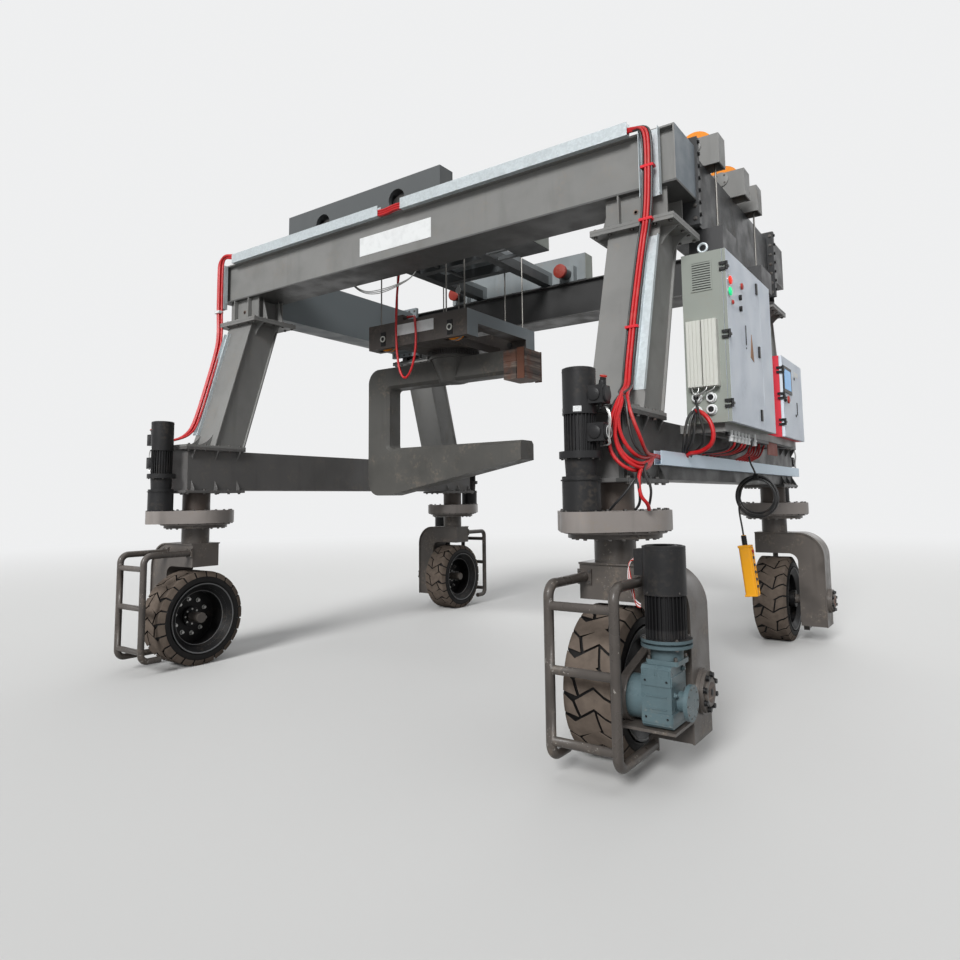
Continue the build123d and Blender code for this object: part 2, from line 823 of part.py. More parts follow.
# Guard: two tube uprights with three rungs, held to the fork's head by arms with square flanges
with BuildPart() as guard:
    for upright_x, foot_length in zip(guard_x, guard_feet):
        with BuildLine() as upright:
            FilletPolyline(
                (upright_x, fork_face, guard_top),
                (upright_x, guard_y, guard_top),
                (upright_x, guard_y, guard_bottom),
                (upright_x, guard_y - foot_length, guard_bottom),
                radius=guard_bend,
            )
        with BuildSketch(Plane(origin=(upright_x, fork_face, guard_top), z_dir=(0, 1, 0))):
            Circle(guard_tube)
        sweep(path=upright.line)
        with BuildSketch(Plane.XZ.offset(-fork_face - guard_flange_thickness)):
            with Locations((upright_x, guard_top)):
                Rectangle(guard_flange, guard_flange)
        extrude(amount=guard_flange_thickness)
    lug_y = guard_y - guard_feet[1]
    with BuildSketch(Plane.XZ.offset(-lug_y)):
        with Locations((guard_x[1], (guard_bottom - guard_tube + arm_bottom) / 2)):
            Rectangle(guard_lug_width, arm_bottom - guard_bottom + guard_tube)
    extrude(amount=guard_lug_thickness)
    for rung_z in guard_rungs:
        with BuildSketch(Plane.YZ.offset(guard_x[0])):
            with Locations((guard_y, rung_z)):
                Circle(guard_rung_tube)
        extrude(amount=guard_x[1] - guard_x[0])
for name, side, end in corners:
    guard_copy = corner_copy(guard.part, side, end)
    guard_copy.label = f"guard_{name}"
    export_step(guard_copy, f"parts/guard_{name}.step")

# Tyre: one revolved section about the wheel's axle, with a flat tread and rounded shoulders
wheel_axis = Axis((track_half, wheelbase_half, tyre_radius), (1, 0, 0))
with BuildPart() as tyre:
    with BuildSketch(Plane.XY.offset(tyre_radius)):
        with BuildLine():
            half = tyre_width / 2
            tread = tread_width / 2
            Polyline(
                (track_half - half, wheelbase_half + bead_radius),
                (track_half - half, wheelbase_half + tyre_radius - shoulder_height),
                (track_half - tread, wheelbase_half + tyre_radius),
                (track_half + tread, wheelbase_half + tyre_radius),
                (track_half + half, wheelbase_half + tyre_radius - shoulder_height),
                (track_half + half, wheelbase_half + bead_radius),
                close=True,
            )
        make_face()
    revolve(axis=wheel_axis)
for name, side, end in corners:
    tyre_copy = corner_copy(tyre.part, side, end)
    tyre_copy.label = f"tyre_{name}"
    export_step(tyre_copy, f"parts/tyre_{name}.step")

# Rim: a dished disc between two lips, with its hub on the spindle
with BuildPart() as rim:
    with BuildSketch(Plane.XY.offset(tyre_radius)):
        with BuildLine():
            inside = track_half - tyre_width / 2
            outside = track_half + tyre_width / 2
            disc_x = track_half + rim_disc_x
            bore = wheelbase_half + spindle_radius + running_gap
            Polyline(
                (inside, wheelbase_half + bead_radius),
                (outside, wheelbase_half + bead_radius),
                (outside, wheelbase_half + bead_radius - rim_lip),
                (outside - rim_dish_depth / 2, wheelbase_half + rim_dish_radius),
                (disc_x + rim_disc_thickness, wheelbase_half + rim_dish_radius),
                (disc_x + rim_disc_thickness, wheelbase_half + hub_radius),
                (outside + hub_outer, wheelbase_half + hub_radius),
                (outside + hub_outer, bore),
                (disc_x - hub_inner, bore),
                (disc_x - hub_inner, wheelbase_half + hub_radius),
                (disc_x, wheelbase_half + hub_radius),
                (disc_x, wheelbase_half + rim_dish_radius),
                (inside + rim_dish_depth, wheelbase_half + rim_dish_radius),
                (inside, wheelbase_half + bead_radius - rim_lip),
                close=True,
            )
        make_face()
    revolve(axis=wheel_axis)
for name, side, end in corners:
    rim_copy = corner_copy(rim.part, side, end)
    rim_copy.label = f"rim_{name}"
    export_step(rim_copy, f"parts/rim_{name}.step")

# Rope boxes on the end beam: sheave boxes on top and anchor boxes on its outer face
with BuildPart() as rope_boxes:
    beam_top = end_beam_bottom + end_beam_height
    for box_y in sheave_box_places:
        with BuildSketch(Plane.XY.offset(beam_top)):
            with Locations((sheave_box_outer - sheave_box_length / 2, box_y)):
                Rectangle(sheave_box_length, sheave_box_width)
                Rectangle(
                    sheave_box_length - 2 * sheave_box_wall,
                    sheave_box_width - 2 * sheave_box_wall,
                    mode=Mode.SUBTRACT,
                )
        extrude(amount=sheave_box_height)
        with BuildSketch(Plane.XZ.offset(-box_y - sheave_box_width / 2)):
            with Locations((top_sheave_x, top_sheave_z)):
                Circle(sheave_axle_radius + running_gap)
        extrude(amount=sheave_box_width, mode=Mode.SUBTRACT)
    for anchor_y in anchor_places:
        with BuildSketch(Plane.XY.offset(end_beam_bottom - anchor_height)):
            with Locations((anchor_outer - anchor_length / 2, anchor_y)):
                Rectangle(anchor_length, anchor_width)
        extrude(amount=anchor_height)
rope_boxes.part.label = "rope_boxes"
export_step(rope_boxes.part, "parts/rope_boxes.step")

# Sheaves of the rope boxes, each grooved wheel with its axle in the box's side plates
with BuildPart() as top_sheaves:
    for box_y in sheave_box_places:
        with BuildSketch(Plane.YZ.offset(top_sheave_x)):
            with BuildLine():
                Polyline(
                    (box_y - sheave_box_width / 2, top_sheave_z),
                    (box_y - sheave_box_width / 2, top_sheave_z + sheave_axle_radius),
                    (box_y - top_sheave_width / 2, top_sheave_z + sheave_axle_radius),
                    (box_y - top_sheave_width / 2, top_sheave_z + top_sheave_radius),
                    (box_y - sheave_groove / 2, top_sheave_z + top_sheave_radius - sheave_groove),
                    (box_y + sheave_groove / 2, top_sheave_z + top_sheave_radius - sheave_groove),
                    (box_y + top_sheave_width / 2, top_sheave_z + top_sheave_radius),
                    (box_y + top_sheave_width / 2, top_sheave_z + sheave_axle_radius),
                    (box_y + sheave_box_width / 2, top_sheave_z + sheave_axle_radius),
                    (box_y + sheave_box_width / 2, top_sheave_z),
                    close=True,
                )
            make_face()
        revolve(axis=Axis((top_sheave_x, box_y, top_sheave_z), (0, 1, 0)))
top_sheaves.part.label = "top_sheaves"
export_step(top_sheaves.part, "parts/top_sheaves.step")

# Ropes from the outer side of two top sheaves down to the anchor boxes
with BuildPart() as anchor_ropes:
    for anchor_y in anchor_places:
        with BuildSketch(Plane.XY.offset(end_beam_bottom)):
            with Locations((rope_x, anchor_y)):
                Circle(rope_radius)
        extrude(amount=top_sheave_z - end_beam_bottom)
anchor_ropes.part.label = "anchor_ropes"
export_step(anchor_ropes.part, "parts/anchor_ropes.step")

# Cable trays: galvanised channels along the front girder, down its ends and along the sill
with BuildPart() as cable_trays:
    for tray_start, tray_end in girder_tray_runs:
        with BuildSketch(Plane.YZ.offset(tray_start)):
            with Locations((-girder_y - girder_width / 2 - tray_depth / 2, girder_tray_bottom + tray_height / 2)):
                Rectangle(tray_depth, tray_height)
                with Locations((0, tray_sheet)):
                    Rectangle(tray_depth - 2 * tray_sheet, tray_height, mode=Mode.SUBTRACT)
        extrude(amount=tray_end - tray_start)
    for drop_x, drop_width in drop_trays:
        with BuildSketch(Plane.XY.offset(drop_tray_bottom)):
            with Locations((drop_x, -girder_y - girder_width / 2 - tray_depth / 2)):
                Rectangle(drop_width, tray_depth)
                with Locations((0, -tray_sheet)):
                    Rectangle(drop_width - 2 * tray_sheet, tray_depth, mode=Mode.SUBTRACT)
        extrude(amount=girder_tray_bottom - drop_tray_bottom)
    leg_face_bottom = leg_head_y + leg_depth / 2 + (leg_top - leg_tray_bottom) * leg_slope
    leg_face_top = leg_head_y + leg_depth / 2 + (leg_top - leg_tray_top) * leg_slope
    leg_tray_sheets = (
        # distance of the near side from the leg, width, mode
        (0, leg_tray_width, Mode.ADD),
        (tray_sheet, leg_tray_width - 2 * tray_sheet, Mode.SUBTRACT),
    )
    for side in (-1, 1):
        for away, width, mode in leg_tray_sheets:
            with BuildSketch(Plane.YZ.offset(side * leg_tray_x - width / 2)):
                with BuildLine():
                    Polyline(
                        (-leg_face_bottom - away, leg_tray_bottom),
                        (-leg_face_bottom - leg_tray_depth, leg_tray_bottom),
                        (-leg_face_top - leg_tray_depth, leg_tray_top),
                        (-leg_face_top - away, leg_tray_top),
                        close=True,
                    )
                make_face()
            extrude(amount=width, mode=mode)
    with BuildSketch(Plane.XZ.offset(-sill_tray_end)):
        with Locations((sill_face + sill_tray_gap + tray_depth / 2, sill_tray_bottom + sill_tray_height / 2)):
            Rectangle(tray_depth, sill_tray_height)
            with Locations((0, tray_sheet)):
                Rectangle(tray_depth - 2 * tray_sheet, sill_tray_height, mode=Mode.SUBTRACT)
    extrude(amount=sill_tray_end - sill_tray_start)
    for bracket_y in sill_tray_brackets:
        with BuildSketch(Plane.XZ.offset(-bracket_y)):
            with Locations((sill_face + sill_tray_gap / 2, sill_tray_bottom + sill_tray_height / 2)):
                Rectangle(sill_tray_gap, tray_bracket)
        extrude(amount=tray_bracket)
cable_trays.part.label = "cable_trays"
export_step(cable_trays.part, "parts/cable_trays.step")

# Brackets that carry the cabinets off the sill: cantilever arms and two long rails
with BuildPart() as cabinet_brackets:
    bracket_reach = bracket_rails[1] + bracket_end
    for arm_y in bracket_places:
        with BuildSketch(Plane.XZ.offset(-arm_y - bracket_tube / 2)):
            with Locations(((sill_face + bracket_reach) / 2, cabinet_bottom - bracket_tube / 2)):
                Rectangle(bracket_reach - sill_face, bracket_tube)
        extrude(amount=bracket_tube)
    for rail_x in bracket_rails:
        with BuildSketch(Plane.XZ.offset(-bracket_places[-1])):
            with Locations((rail_x, cabinet_bottom - bracket_tube / 2)):
                Rectangle(bracket_tube, bracket_tube)
        extrude(amount=bracket_places[-1] - bracket_places[0])
    gland_x, gland_y, gland_z = pendant_lead_in[0]
    with BuildSketch(Plane.XY.offset(gland_z)):
        with Locations((gland_x, gland_y)):
            Circle(gland_radius)
    extrude(amount=cabinet_bottom - bracket_tube - gland_z)
cabinet_brackets.part.label = "cabinet_brackets"
export_step(cabinet_brackets.part, "parts/cabinet_brackets.step")

# Cabinet shells, open on their outer side, and the doors that close them
cabinets = (
    # name, back x, near y, far y, bottom, top, far edge of the door
    ("cabinet", cabinet_back, cabinet_y0, cabinet_y1, cabinet_bottom, cabinet_top, cabinet_door_edge),
    ("small_cabinet", small_cabinet_back, small_cabinet_y0, small_cabinet_y1,
     cabinet_bottom, small_cabinet_top, small_cabinet_y1),
)
shell_front = cabinet_front - door_thickness - door_gap
pin_x = cabinet_front + hinge_knuckle_radius - hinge_knuckle_sink
for name, back, near_y, far_y, bottom, top, door_edge in cabinets:
    with BuildPart() as shell:
        with BuildSketch(Plane.XY.offset(bottom)):
            with Locations(((back + shell_front) / 2, (near_y + far_y) / 2)):
                Rectangle(shell_front - back, far_y - near_y)
        extrude(amount=top - bottom)
        with BuildSketch(Plane.XY.offset(bottom + cabinet_wall)):
            with Locations(((back + cabinet_wall + shell_front) / 2, (near_y + door_edge) / 2)):
                Rectangle(shell_front - back - cabinet_wall, door_edge - near_y - 2 * cabinet_wall)
        extrude(amount=top - bottom - 2 * cabinet_wall, mode=Mode.SUBTRACT)
        if far_y > door_edge:
            with BuildSketch(Plane.XY.offset(bottom + cabinet_wall)):
                with Locations(((back + shell_front) / 2, (door_edge - cabinet_wall + far_y) / 2)):
                    Rectangle(shell_front - back - 2 * cabinet_wall, far_y - door_edge - cabinet_wall)
            extrude(amount=top - bottom - 2 * cabinet_wall, mode=Mode.SUBTRACT)
            with BuildSketch(Plane.XY.offset(bottom)):
                with Locations(((shell_front + cabinet_front) / 2, (door_edge + door_gap + far_y) / 2)):
                    Rectangle(cabinet_front - shell_front, far_y - door_edge - door_gap)
            extrude(amount=top - bottom)
        for hinge_z in (bottom + hinge_margin, (bottom + top) / 2, top - hinge_margin):
            for knuckle_side in (-1, 1):
                knuckle_z = hinge_z + knuckle_side * (hinge_leaf_height / 2 + hinge_knuckle_gap + hinge_knuckle_height / 2)
                with BuildSketch(Plane.XY.offset(knuckle_z - hinge_knuckle_height / 2)):
                    with Locations((pin_x, near_y - hinge_offset)):
                        Circle(hinge_knuckle_radius)
                    with Locations(((shell_front - hinge_block_length + pin_x) / 2, near_y - hinge_offset)):
                        Rectangle(pin_x - shell_front + hinge_block_length, hinge_pin_radius * 2)
                    with Locations((shell_front - hinge_block_length / 2, near_y - hinge_offset / 2)):
                        Rectangle(hinge_block_length, hinge_offset)
                extrude(amount=hinge_knuckle_height)
            with BuildSketch(Plane.XY.offset(hinge_z - hinge_leaf_height)):
                with Locations((pin_x, near_y - hinge_offset)):
                    Circle(hinge_pin_radius)
            extrude(amount=2 * hinge_leaf_height)
    shell.part.label = f"{name}_shell"
    export_step(shell.part, f"parts/{name}_shell.step")
    with BuildPart() as door:
        with BuildSketch(Plane.XY.offset(bottom)):
            with Locations((cabinet_front - door_thickness / 2, (near_y + door_edge) / 2)):
                Rectangle(door_thickness, door_edge - near_y)
        extrude(amount=top - bottom)
        for hinge_z in (bottom + hinge_margin, (bottom + top) / 2, top - hinge_margin):
            with BuildSketch(Plane.XY.offset(hinge_z - hinge_leaf_height / 2)):
                with Locations((pin_x, near_y - hinge_offset)):
                    Circle(hinge_knuckle_radius)
                with Locations((pin_x, near_y - hinge_offset + hinge_leaf_length / 2)):
                    Rectangle(2 * (pin_x - cabinet_front), hinge_leaf_length)
            extrude(amount=hinge_leaf_height)
            with BuildSketch(Plane.XY.offset(hinge_z - hinge_leaf_height / 2)):
                with Locations((pin_x, near_y - hinge_offset)):
                    Circle(hinge_pin_radius + hinge_pin_gap)
            extrude(amount=hinge_leaf_height, mode=Mode.SUBTRACT)
    door.part.label = f"{name}_door"
    export_step(door.part, f"parts/{name}_door.step")

# Brake resistors: two finned boxes on the end of the large cabinet
with BuildPart() as brake_resistors:
    for resistor_x in resistor_places:
        with BuildSketch(Plane.XZ.offset(-cabinet_y0)):
            with Locations((resistor_x, resistor_bottom + resistor_height / 2)):
                Rectangle(resistor_width, resistor_height)
        extrude(amount=resistor_depth)
brake_resistors.part.label = "brake_resistors"
export_step(brake_resistors.part, "parts/brake_resistors.step")

block_sheave_y = head_block_half_width - head_block_beam / 2
beam_top_z = cross_beam_bottom + cross_beam_height
fall_offset = block_sheave_radius - sheave_groove + rope_radius + running_gap
drum_spread = block_sheave_x - fall_offset - rope_radius - running_gap - drum_radius
drum_z = beam_top_z + drum_height

# Trolley frame: wheel carriages over the girders, cross beams, travel drives and an electric box
wheel_axle_z = girder_bottom + girder_height + rail_height + running_gap + trolley_wheel_radius
with BuildPart() as trolley_frame:
    with BuildSketch(Plane.XY.offset(carriage_bottom)):
        with Locations((trolley_x, girder_y)):
            Rectangle(carriage_length, carriage_width)
    extrude(amount=carriage_top - carriage_bottom)
    for wheel_side in (-1, 1):
        wheel_x = trolley_x + wheel_side * trolley_wheel_spread
        with BuildSketch(Plane.XY.offset(carriage_bottom)):
            with Locations((wheel_x, girder_y)):
                Rectangle(
                    2 * (trolley_wheel_radius + wheel_cut_clearance),
                    trolley_wheel_width + 2 * wheel_cut_clearance,
                )
        extrude(amount=wheel_axle_z + trolley_wheel_radius + wheel_cut_clearance - carriage_bottom,
                mode=Mode.SUBTRACT)
        with BuildSketch(Plane.XZ.offset(-girder_y - carriage_width / 2)):
            with Locations((wheel_x, carriage_hole_z)):
                Circle(carriage_hole_radius)
        extrude(amount=carriage_width / 2, mode=Mode.SUBTRACT)
        with BuildSketch(Plane.XZ.offset(-girder_y)):
            with Locations((wheel_x, wheel_axle_z)):
                Circle(stub_axle_radius + running_gap)
        extrude(amount=carriage_width / 2, mode=Mode.SUBTRACT)
    carriage_inner = girder_y - carriage_width / 2
    for wheel_side in (-1, 1):
        with BuildSketch(Plane.XY.offset(cross_beam_bottom)):
            with Locations((trolley_x + wheel_side * trolley_wheel_spread, carriage_inner / 2)):
                Rectangle(cross_beam_width, carriage_inner)
        extrude(amount=cross_beam_height)
    long_beam_length = 2 * trolley_wheel_spread - cross_beam_width
    for beam_y in (0, long_beam_y):
        with BuildSketch(Plane.XY.offset(cross_beam_bottom)):
            with Locations((trolley_x, beam_y)):
                Rectangle(long_beam_length, long_beam_width)
        extrude(amount=cross_beam_height)
    mirror(about=Plane.XZ)
    for drive_side in (-1, 1):
        drive_x = trolley_x + drive_side * travel_drive_spread
        with BuildSketch(Plane.XZ.offset(-carriage_inner)):
            with Locations((drive_x, travel_drive_bottom + travel_drive_height / 2)):
                Rectangle(travel_drive_length, travel_drive_height)
        extrude(amount=travel_drive_depth)
        travel_motor_steps = (
            # radius, distance of the near end from the carriage, length
            (travel_motor_radius, travel_drive_depth, travel_motor_length),
            (travel_cap_radius, travel_drive_depth + travel_motor_length, travel_cap_length),
        )
        for radius, near_end, length in travel_motor_steps:
            with BuildSketch(Plane.XZ.offset(-carriage_inner + near_end)):
                with Locations((drive_x, travel_drive_bottom + travel_drive_height / 2)):
                    Circle(radius)
            extrude(amount=length)
    beam_side = trolley_x + trolley_wheel_spread + cross_beam_width / 2
    with BuildSketch(Plane.XY.offset(cross_beam_bottom)):
        for arm_y in (-electric_arm_y, electric_arm_y):
            with Locations(((beam_side + electric_box_x) / 2, arm_y)):
                Rectangle(electric_box_x - beam_side, electric_arm_width)
    extrude(amount=electric_arm_width)
    with BuildSketch(Plane.XY.offset(cross_beam_bottom)):
        with Locations((electric_box_x + electric_box_length / 2, 0)):
            Rectangle(electric_box_length, electric_box_width)
    extrude(amount=electric_box_height)
    with BuildSketch(Plane.XY.offset(beam_top_z)):
        for anchor_side in (-1, 1):
            for anchor_end in (-block_sheave_y, block_sheave_y):
                with Locations((trolley_x + anchor_side * trolley_wheel_spread, anchor_end)):
                    Rectangle(cross_beam_width, rope_anchor_width)
    extrude(amount=drum_height)
    with BuildSketch(Plane.XY.offset(drum_z)):
        for anchor_side in (-1, 1):
            anchor_middle = trolley_wheel_spread - cross_beam_width / 2 + rope_anchor_length / 2
            for anchor_end in (-block_sheave_y, block_sheave_y):
                with Locations((trolley_x + anchor_side * anchor_middle, anchor_end)):
                    Rectangle(rope_anchor_length, rope_anchor_width)
    extrude(amount=rope_anchor_plate)
    loop_x, loop_y, loop_z = loop_route[0]
    with BuildSketch(Plane.XZ.offset(-loop_y)):
        with Locations((loop_x, loop_z)):
            Circle(gland_radius)
    extrude(amount=-long_beam_y + long_beam_width / 2 + loop_y)
trolley_frame.part.label = "trolley_frame"
export_step(trolley_frame.part, "parts/trolley_frame.step")

# Trolley wheels: two flanged wheels on stub axles at each end of the trolley
for name, wheel_side in (("left", -1), ("right", 1)):
    with BuildPart() as trolley_wheels:
        wheel_x = trolley_x + wheel_side * trolley_wheel_spread
        for rail_y in (-girder_y, girder_y):
            with BuildSketch(Plane.XZ.offset(-rail_y - trolley_wheel_width / 2)):
                with Locations((wheel_x, wheel_axle_z)):
                    Circle(trolley_wheel_radius)
            extrude(amount=trolley_wheel_width)
            with BuildSketch(Plane.XZ.offset(-rail_y)):
                with Locations((wheel_x, wheel_axle_z)):
                    Circle(stub_axle_radius)
            extrude(amount=math.copysign(carriage_width / 2, rail_y))
    trolley_wheels.part.label = f"trolley_wheels_{name}"
    export_step(trolley_wheels.part, f"parts/trolley_wheels_{name}.step")

# Hoists: each with a middle gearbox and motor, a shaft in two bearings and a drum at each end
with BuildPart() as hoists:
    for drum_side in (-1, 1):
        drum_x = trolley_x + drum_side * drum_spread
        shaft_steps = (
            # near y, far y, radius
            (-drum_outer, drum_outer, drum_shaft_radius),
            (-drum_outer, -drum_inner, drum_radius),
            (drum_inner, drum_outer, drum_radius),
        )
        for near_y, far_y, radius in shaft_steps:
            with BuildSketch(Plane.XZ.offset(-far_y)):
                with Locations((drum_x, drum_z)):
                    Circle(radius)
            extrude(amount=far_y - near_y)
        with BuildSketch(Plane.XY.offset(beam_top_z)):
            with Locations((drum_x, -long_beam_y), (drum_x, long_beam_y)):
                Rectangle(bearing_length, bearing_width)
            with Locations((drum_x, 0)):
                Rectangle(hoist_box_length, hoist_box_width)
        extrude(amount=drum_height + drum_shaft_radius + bearing_cap)
        with BuildSketch(Plane.XY.offset(drum_z + drum_shaft_radius + bearing_cap)):
            with Locations((drum_x, 0)):
                Circle(hoist_motor_radius)
        extrude(amount=hoist_motor_length)
hoists.part.label = "hoists"
export_step(hoists.part, "parts/hoists.step")

# Hoist ropes: two falls at each corner sheave, from the trolley down to the head block
block_sheave_z = head_block_bottom + block_sheave_drop
with BuildPart() as hoist_ropes:
    with BuildSketch(Plane.XY.offset(block_sheave_z)):
        for sheave_x in (-block_sheave_x, block_sheave_x):
            for sheave_y in (-block_sheave_y, block_sheave_y):
                for fall in (-fall_offset, fall_offset):
                    with Locations((trolley_x + sheave_x + fall, sheave_y)):
                        Circle(rope_radius)
    extrude(amount=drum_z - block_sheave_z)
hoist_ropes.part.label = "hoist_ropes"
export_step(hoist_ropes.part, "parts/hoist_ropes.step")

# Head block: two side boxes slotted for the sheaves, shallow end members and a middle plate
with BuildPart() as head_block:
    for sheave_y in (-block_sheave_y, block_sheave_y):
        with BuildSketch(Plane.XY.offset(head_block_bottom)):
            with Locations((trolley_x, sheave_y)):
                Rectangle(2 * head_block_half_length, head_block_beam)
            with Locations((trolley_x - block_sheave_x, sheave_y), (trolley_x + block_sheave_x, sheave_y)):
                Rectangle(
                    2 * (block_sheave_radius + wheel_cut_clearance),
                    block_sheave_width + 2 * sheave_side_gap,
                    mode=Mode.SUBTRACT,
                )
        extrude(amount=head_block_height)
    block_inner = head_block_half_width - head_block_beam
    end_centre = head_block_half_length - head_block_beam / 2
    with BuildSketch(Plane.XY.offset(head_block_bottom + head_block_height - head_block_side_height)):
        with Locations((trolley_x - end_centre, 0), (trolley_x + end_centre, 0)):
            Rectangle(head_block_beam, 2 * block_inner)
    extrude(amount=head_block_side_height)
    with BuildSketch(Plane.XY.offset(head_block_bottom)):
        with Locations((trolley_x, 0)):
            Rectangle(2 * block_plate_half, 2 * block_inner)
    extrude(amount=block_plate_height)
    with BuildSketch(Plane.XY.offset(head_block_bottom - slew_ring_height)):
        with Locations((trolley_x, 0)):
            Circle(slew_ring_radius - slew_tooth_height)
    extrude(amount=slew_ring_height)
    with BuildSketch(Plane.XY.offset(head_block_bottom - slew_ring_height + slew_tooth_margin)):
        with Locations((trolley_x, 0)):
            with PolarLocations(slew_ring_radius - slew_tooth_height, slew_tooth_count):
                Rectangle(2 * slew_tooth_height, slew_tooth_width)
    extrude(amount=slew_ring_height - 2 * slew_tooth_margin)
    for sheave_y in (-block_sheave_y, block_sheave_y):
        with BuildSketch(Plane.XZ.offset(-sheave_y - head_block_beam / 2)):
            with Locations((trolley_x - block_sheave_x, block_sheave_z), (trolley_x + block_sheave_x, block_sheave_z)):
                Circle(block_pin_radius + running_gap)
        extrude(amount=head_block_beam, mode=Mode.SUBTRACT)
    loop_x, loop_y, loop_z = loop_route[-1]
    box_length, box_width, box_height = loop_box_size
    block_top = head_block_bottom + head_block_height
    with BuildSketch(Plane.XY.offset(block_top)):
        with Locations((loop_x - loop_gland_length - box_length / 2, loop_y)):
            Rectangle(box_length, box_width)
    extrude(amount=box_height)
    with BuildSketch(Plane.YZ.offset(loop_x - loop_gland_length)):
        with Locations((loop_y, loop_z)):
            Circle(gland_radius)
    extrude(amount=loop_gland_length)
head_block.part.label = "head_block"
export_step(head_block.part, "parts/head_block.step")

# Sheaves of the head block with their pins
with BuildPart() as head_block_sheaves:
    for sheave_x in (-block_sheave_x, block_sheave_x):
        for sheave_y in (-block_sheave_y, block_sheave_y):
            centre_x = trolley_x + sheave_x
            pin_end = head_block_beam / 2 + block_pin_end
            with BuildSketch(Plane.YZ.offset(centre_x)):
                with BuildLine():
                    Polyline(
                        (sheave_y - pin_end, block_sheave_z),
                        (sheave_y - pin_end, block_sheave_z + block_pin_radius),
                        (sheave_y - block_sheave_width / 2, block_sheave_z + block_pin_radius),
                        (sheave_y - block_sheave_width / 2, block_sheave_z + block_sheave_radius),
                        (sheave_y - sheave_groove / 2, block_sheave_z + block_sheave_radius - sheave_groove),
                        (sheave_y + sheave_groove / 2, block_sheave_z + block_sheave_radius - sheave_groove),
                        (sheave_y + block_sheave_width / 2, block_sheave_z + block_sheave_radius),
                        (sheave_y + block_sheave_width / 2, block_sheave_z + block_pin_radius),
                        (sheave_y + pin_end, block_sheave_z + block_pin_radius),
                        (sheave_y + pin_end, block_sheave_z),
                        close=True,
                    )
                make_face()
            revolve(axis=Axis((centre_x, sheave_y, block_sheave_z), (0, 1, 0)))
head_block_sheaves.part.label = "head_block_sheaves"
export_step(head_block_sheaves.part, "parts/head_block_sheaves.step")

# C hook: one thick C with a tapered tongue, hung from its slewing flange by a ribbed pedestal
with BuildPart() as c_hook:
    with BuildSketch(Plane.XZ.offset(-hook_width / 2)):
        with BuildLine():
            Polyline(
                (trolley_x - hook_back_outer, hook_arm_top),
                (trolley_x + hook_arm_end, hook_arm_top),
                (trolley_x + hook_arm_end, hook_arm_bottom),
                (trolley_x - hook_back_inner, hook_arm_bottom),
                (trolley_x - hook_back_inner, tongue_top),
                (trolley_x + hook_toe, tongue_top),
                (trolley_x + hook_toe, tongue_top - tongue_tip_height),
                (trolley_x - hook_back_inner, tongue_top - tongue_root_height),
                (trolley_x - hook_back_outer, tongue_top - tongue_root_height),
                close=True,
            )
        make_face()
    extrude(amount=hook_width)
    back_edges = edges().filter_by(Axis.Y).group_by(Axis.X)[0]
    fillet(back_edges, hook_outer_round)
    throat_edges = edges().filter_by(Axis.Y).filter_by_position(
        Axis.X, trolley_x - hook_back_inner - pick_margin, trolley_x - hook_back_inner + pick_margin
    ).filter_by_position(Axis.Z, tongue_top - pick_margin, hook_arm_bottom + pick_margin)
    fillet(throat_edges, hook_inner_round)
    tongue_edges = edges().filter_by(Axis.X).filter_by_position(
        Axis.Z, tongue_top - pick_margin, tongue_top + pick_margin
    )
    chamfer(tongue_edges, tongue_chamfer)
    flange_top = head_block_bottom - slew_ring_height - slew_gap
    with BuildSketch(Plane.XY.offset(hook_arm_top)):
        with Locations((trolley_x, 0)):
            Circle(slew_flange_radius)
    extrude(amount=flange_top - hook_arm_top)
    with BuildSketch(Plane.XY.offset(hook_arm_bottom)):
        with Locations((trolley_x, 0)):
            Circle(pedestal_bottom_radius)
    with BuildSketch(Plane.XY.offset(hook_arm_top)):
        with Locations((trolley_x, 0)):
            Circle(pedestal_top_radius)
    loft()
    for rib_angle in pedestal_rib_angles:
        rib_plane = Plane(
            origin=(trolley_x, 0, hook_arm_bottom),
            x_dir=Vector(1, 0, 0).rotate(Axis.Z, rib_angle),
            z_dir=Vector(0, -1, 0).rotate(Axis.Z, rib_angle),
        )
        with BuildSketch(rib_plane):
            with BuildLine():
                Polyline(
                    (0, 0),
                    (pedestal_bottom_radius + pedestal_rib_thickness, 0),
                    (pedestal_rib_reach, hook_arm_top - hook_arm_bottom),
                    (0, hook_arm_top - hook_arm_bottom),
                    close=True,
                )
            make_face()
        extrude(amount=pedestal_rib_thickness / 2, both=True)
c_hook.part.label = "c_hook"
export_step(c_hook.part, "parts/c_hook.step")

# Counterweight: a stack of slabs on the end of the hook's upper arm, held by a strap
with BuildPart() as counterweight:
    slab_pitch = counterweight_height / counterweight_plates
    slab_middle_x = trolley_x + hook_arm_end + running_gap + counterweight_length / 2
    for slab in range(counterweight_plates):
        with BuildSketch(Plane.XY.offset(counterweight_bottom + slab * slab_pitch)):
            with Locations((slab_middle_x, 0)):
                Rectangle(counterweight_length, counterweight_width)
        extrude(amount=slab_pitch - counterweight_joint)
    with BuildSketch(Plane.XY.offset(counterweight_bottom)):
        with Locations((slab_middle_x, 0)):
            Rectangle(
                counterweight_length - 2 * counterweight_joint,
                counterweight_width - 2 * counterweight_joint,
            )
            Rectangle(strap_width, counterweight_width + 2 * strap_thickness)
    extrude(amount=counterweight_height - counterweight_joint)
counterweight.part.label = "counterweight"
export_step(counterweight.part, "parts/counterweight.step")

# Cables that hang free, each a plain tube of straight runs and tangent arcs


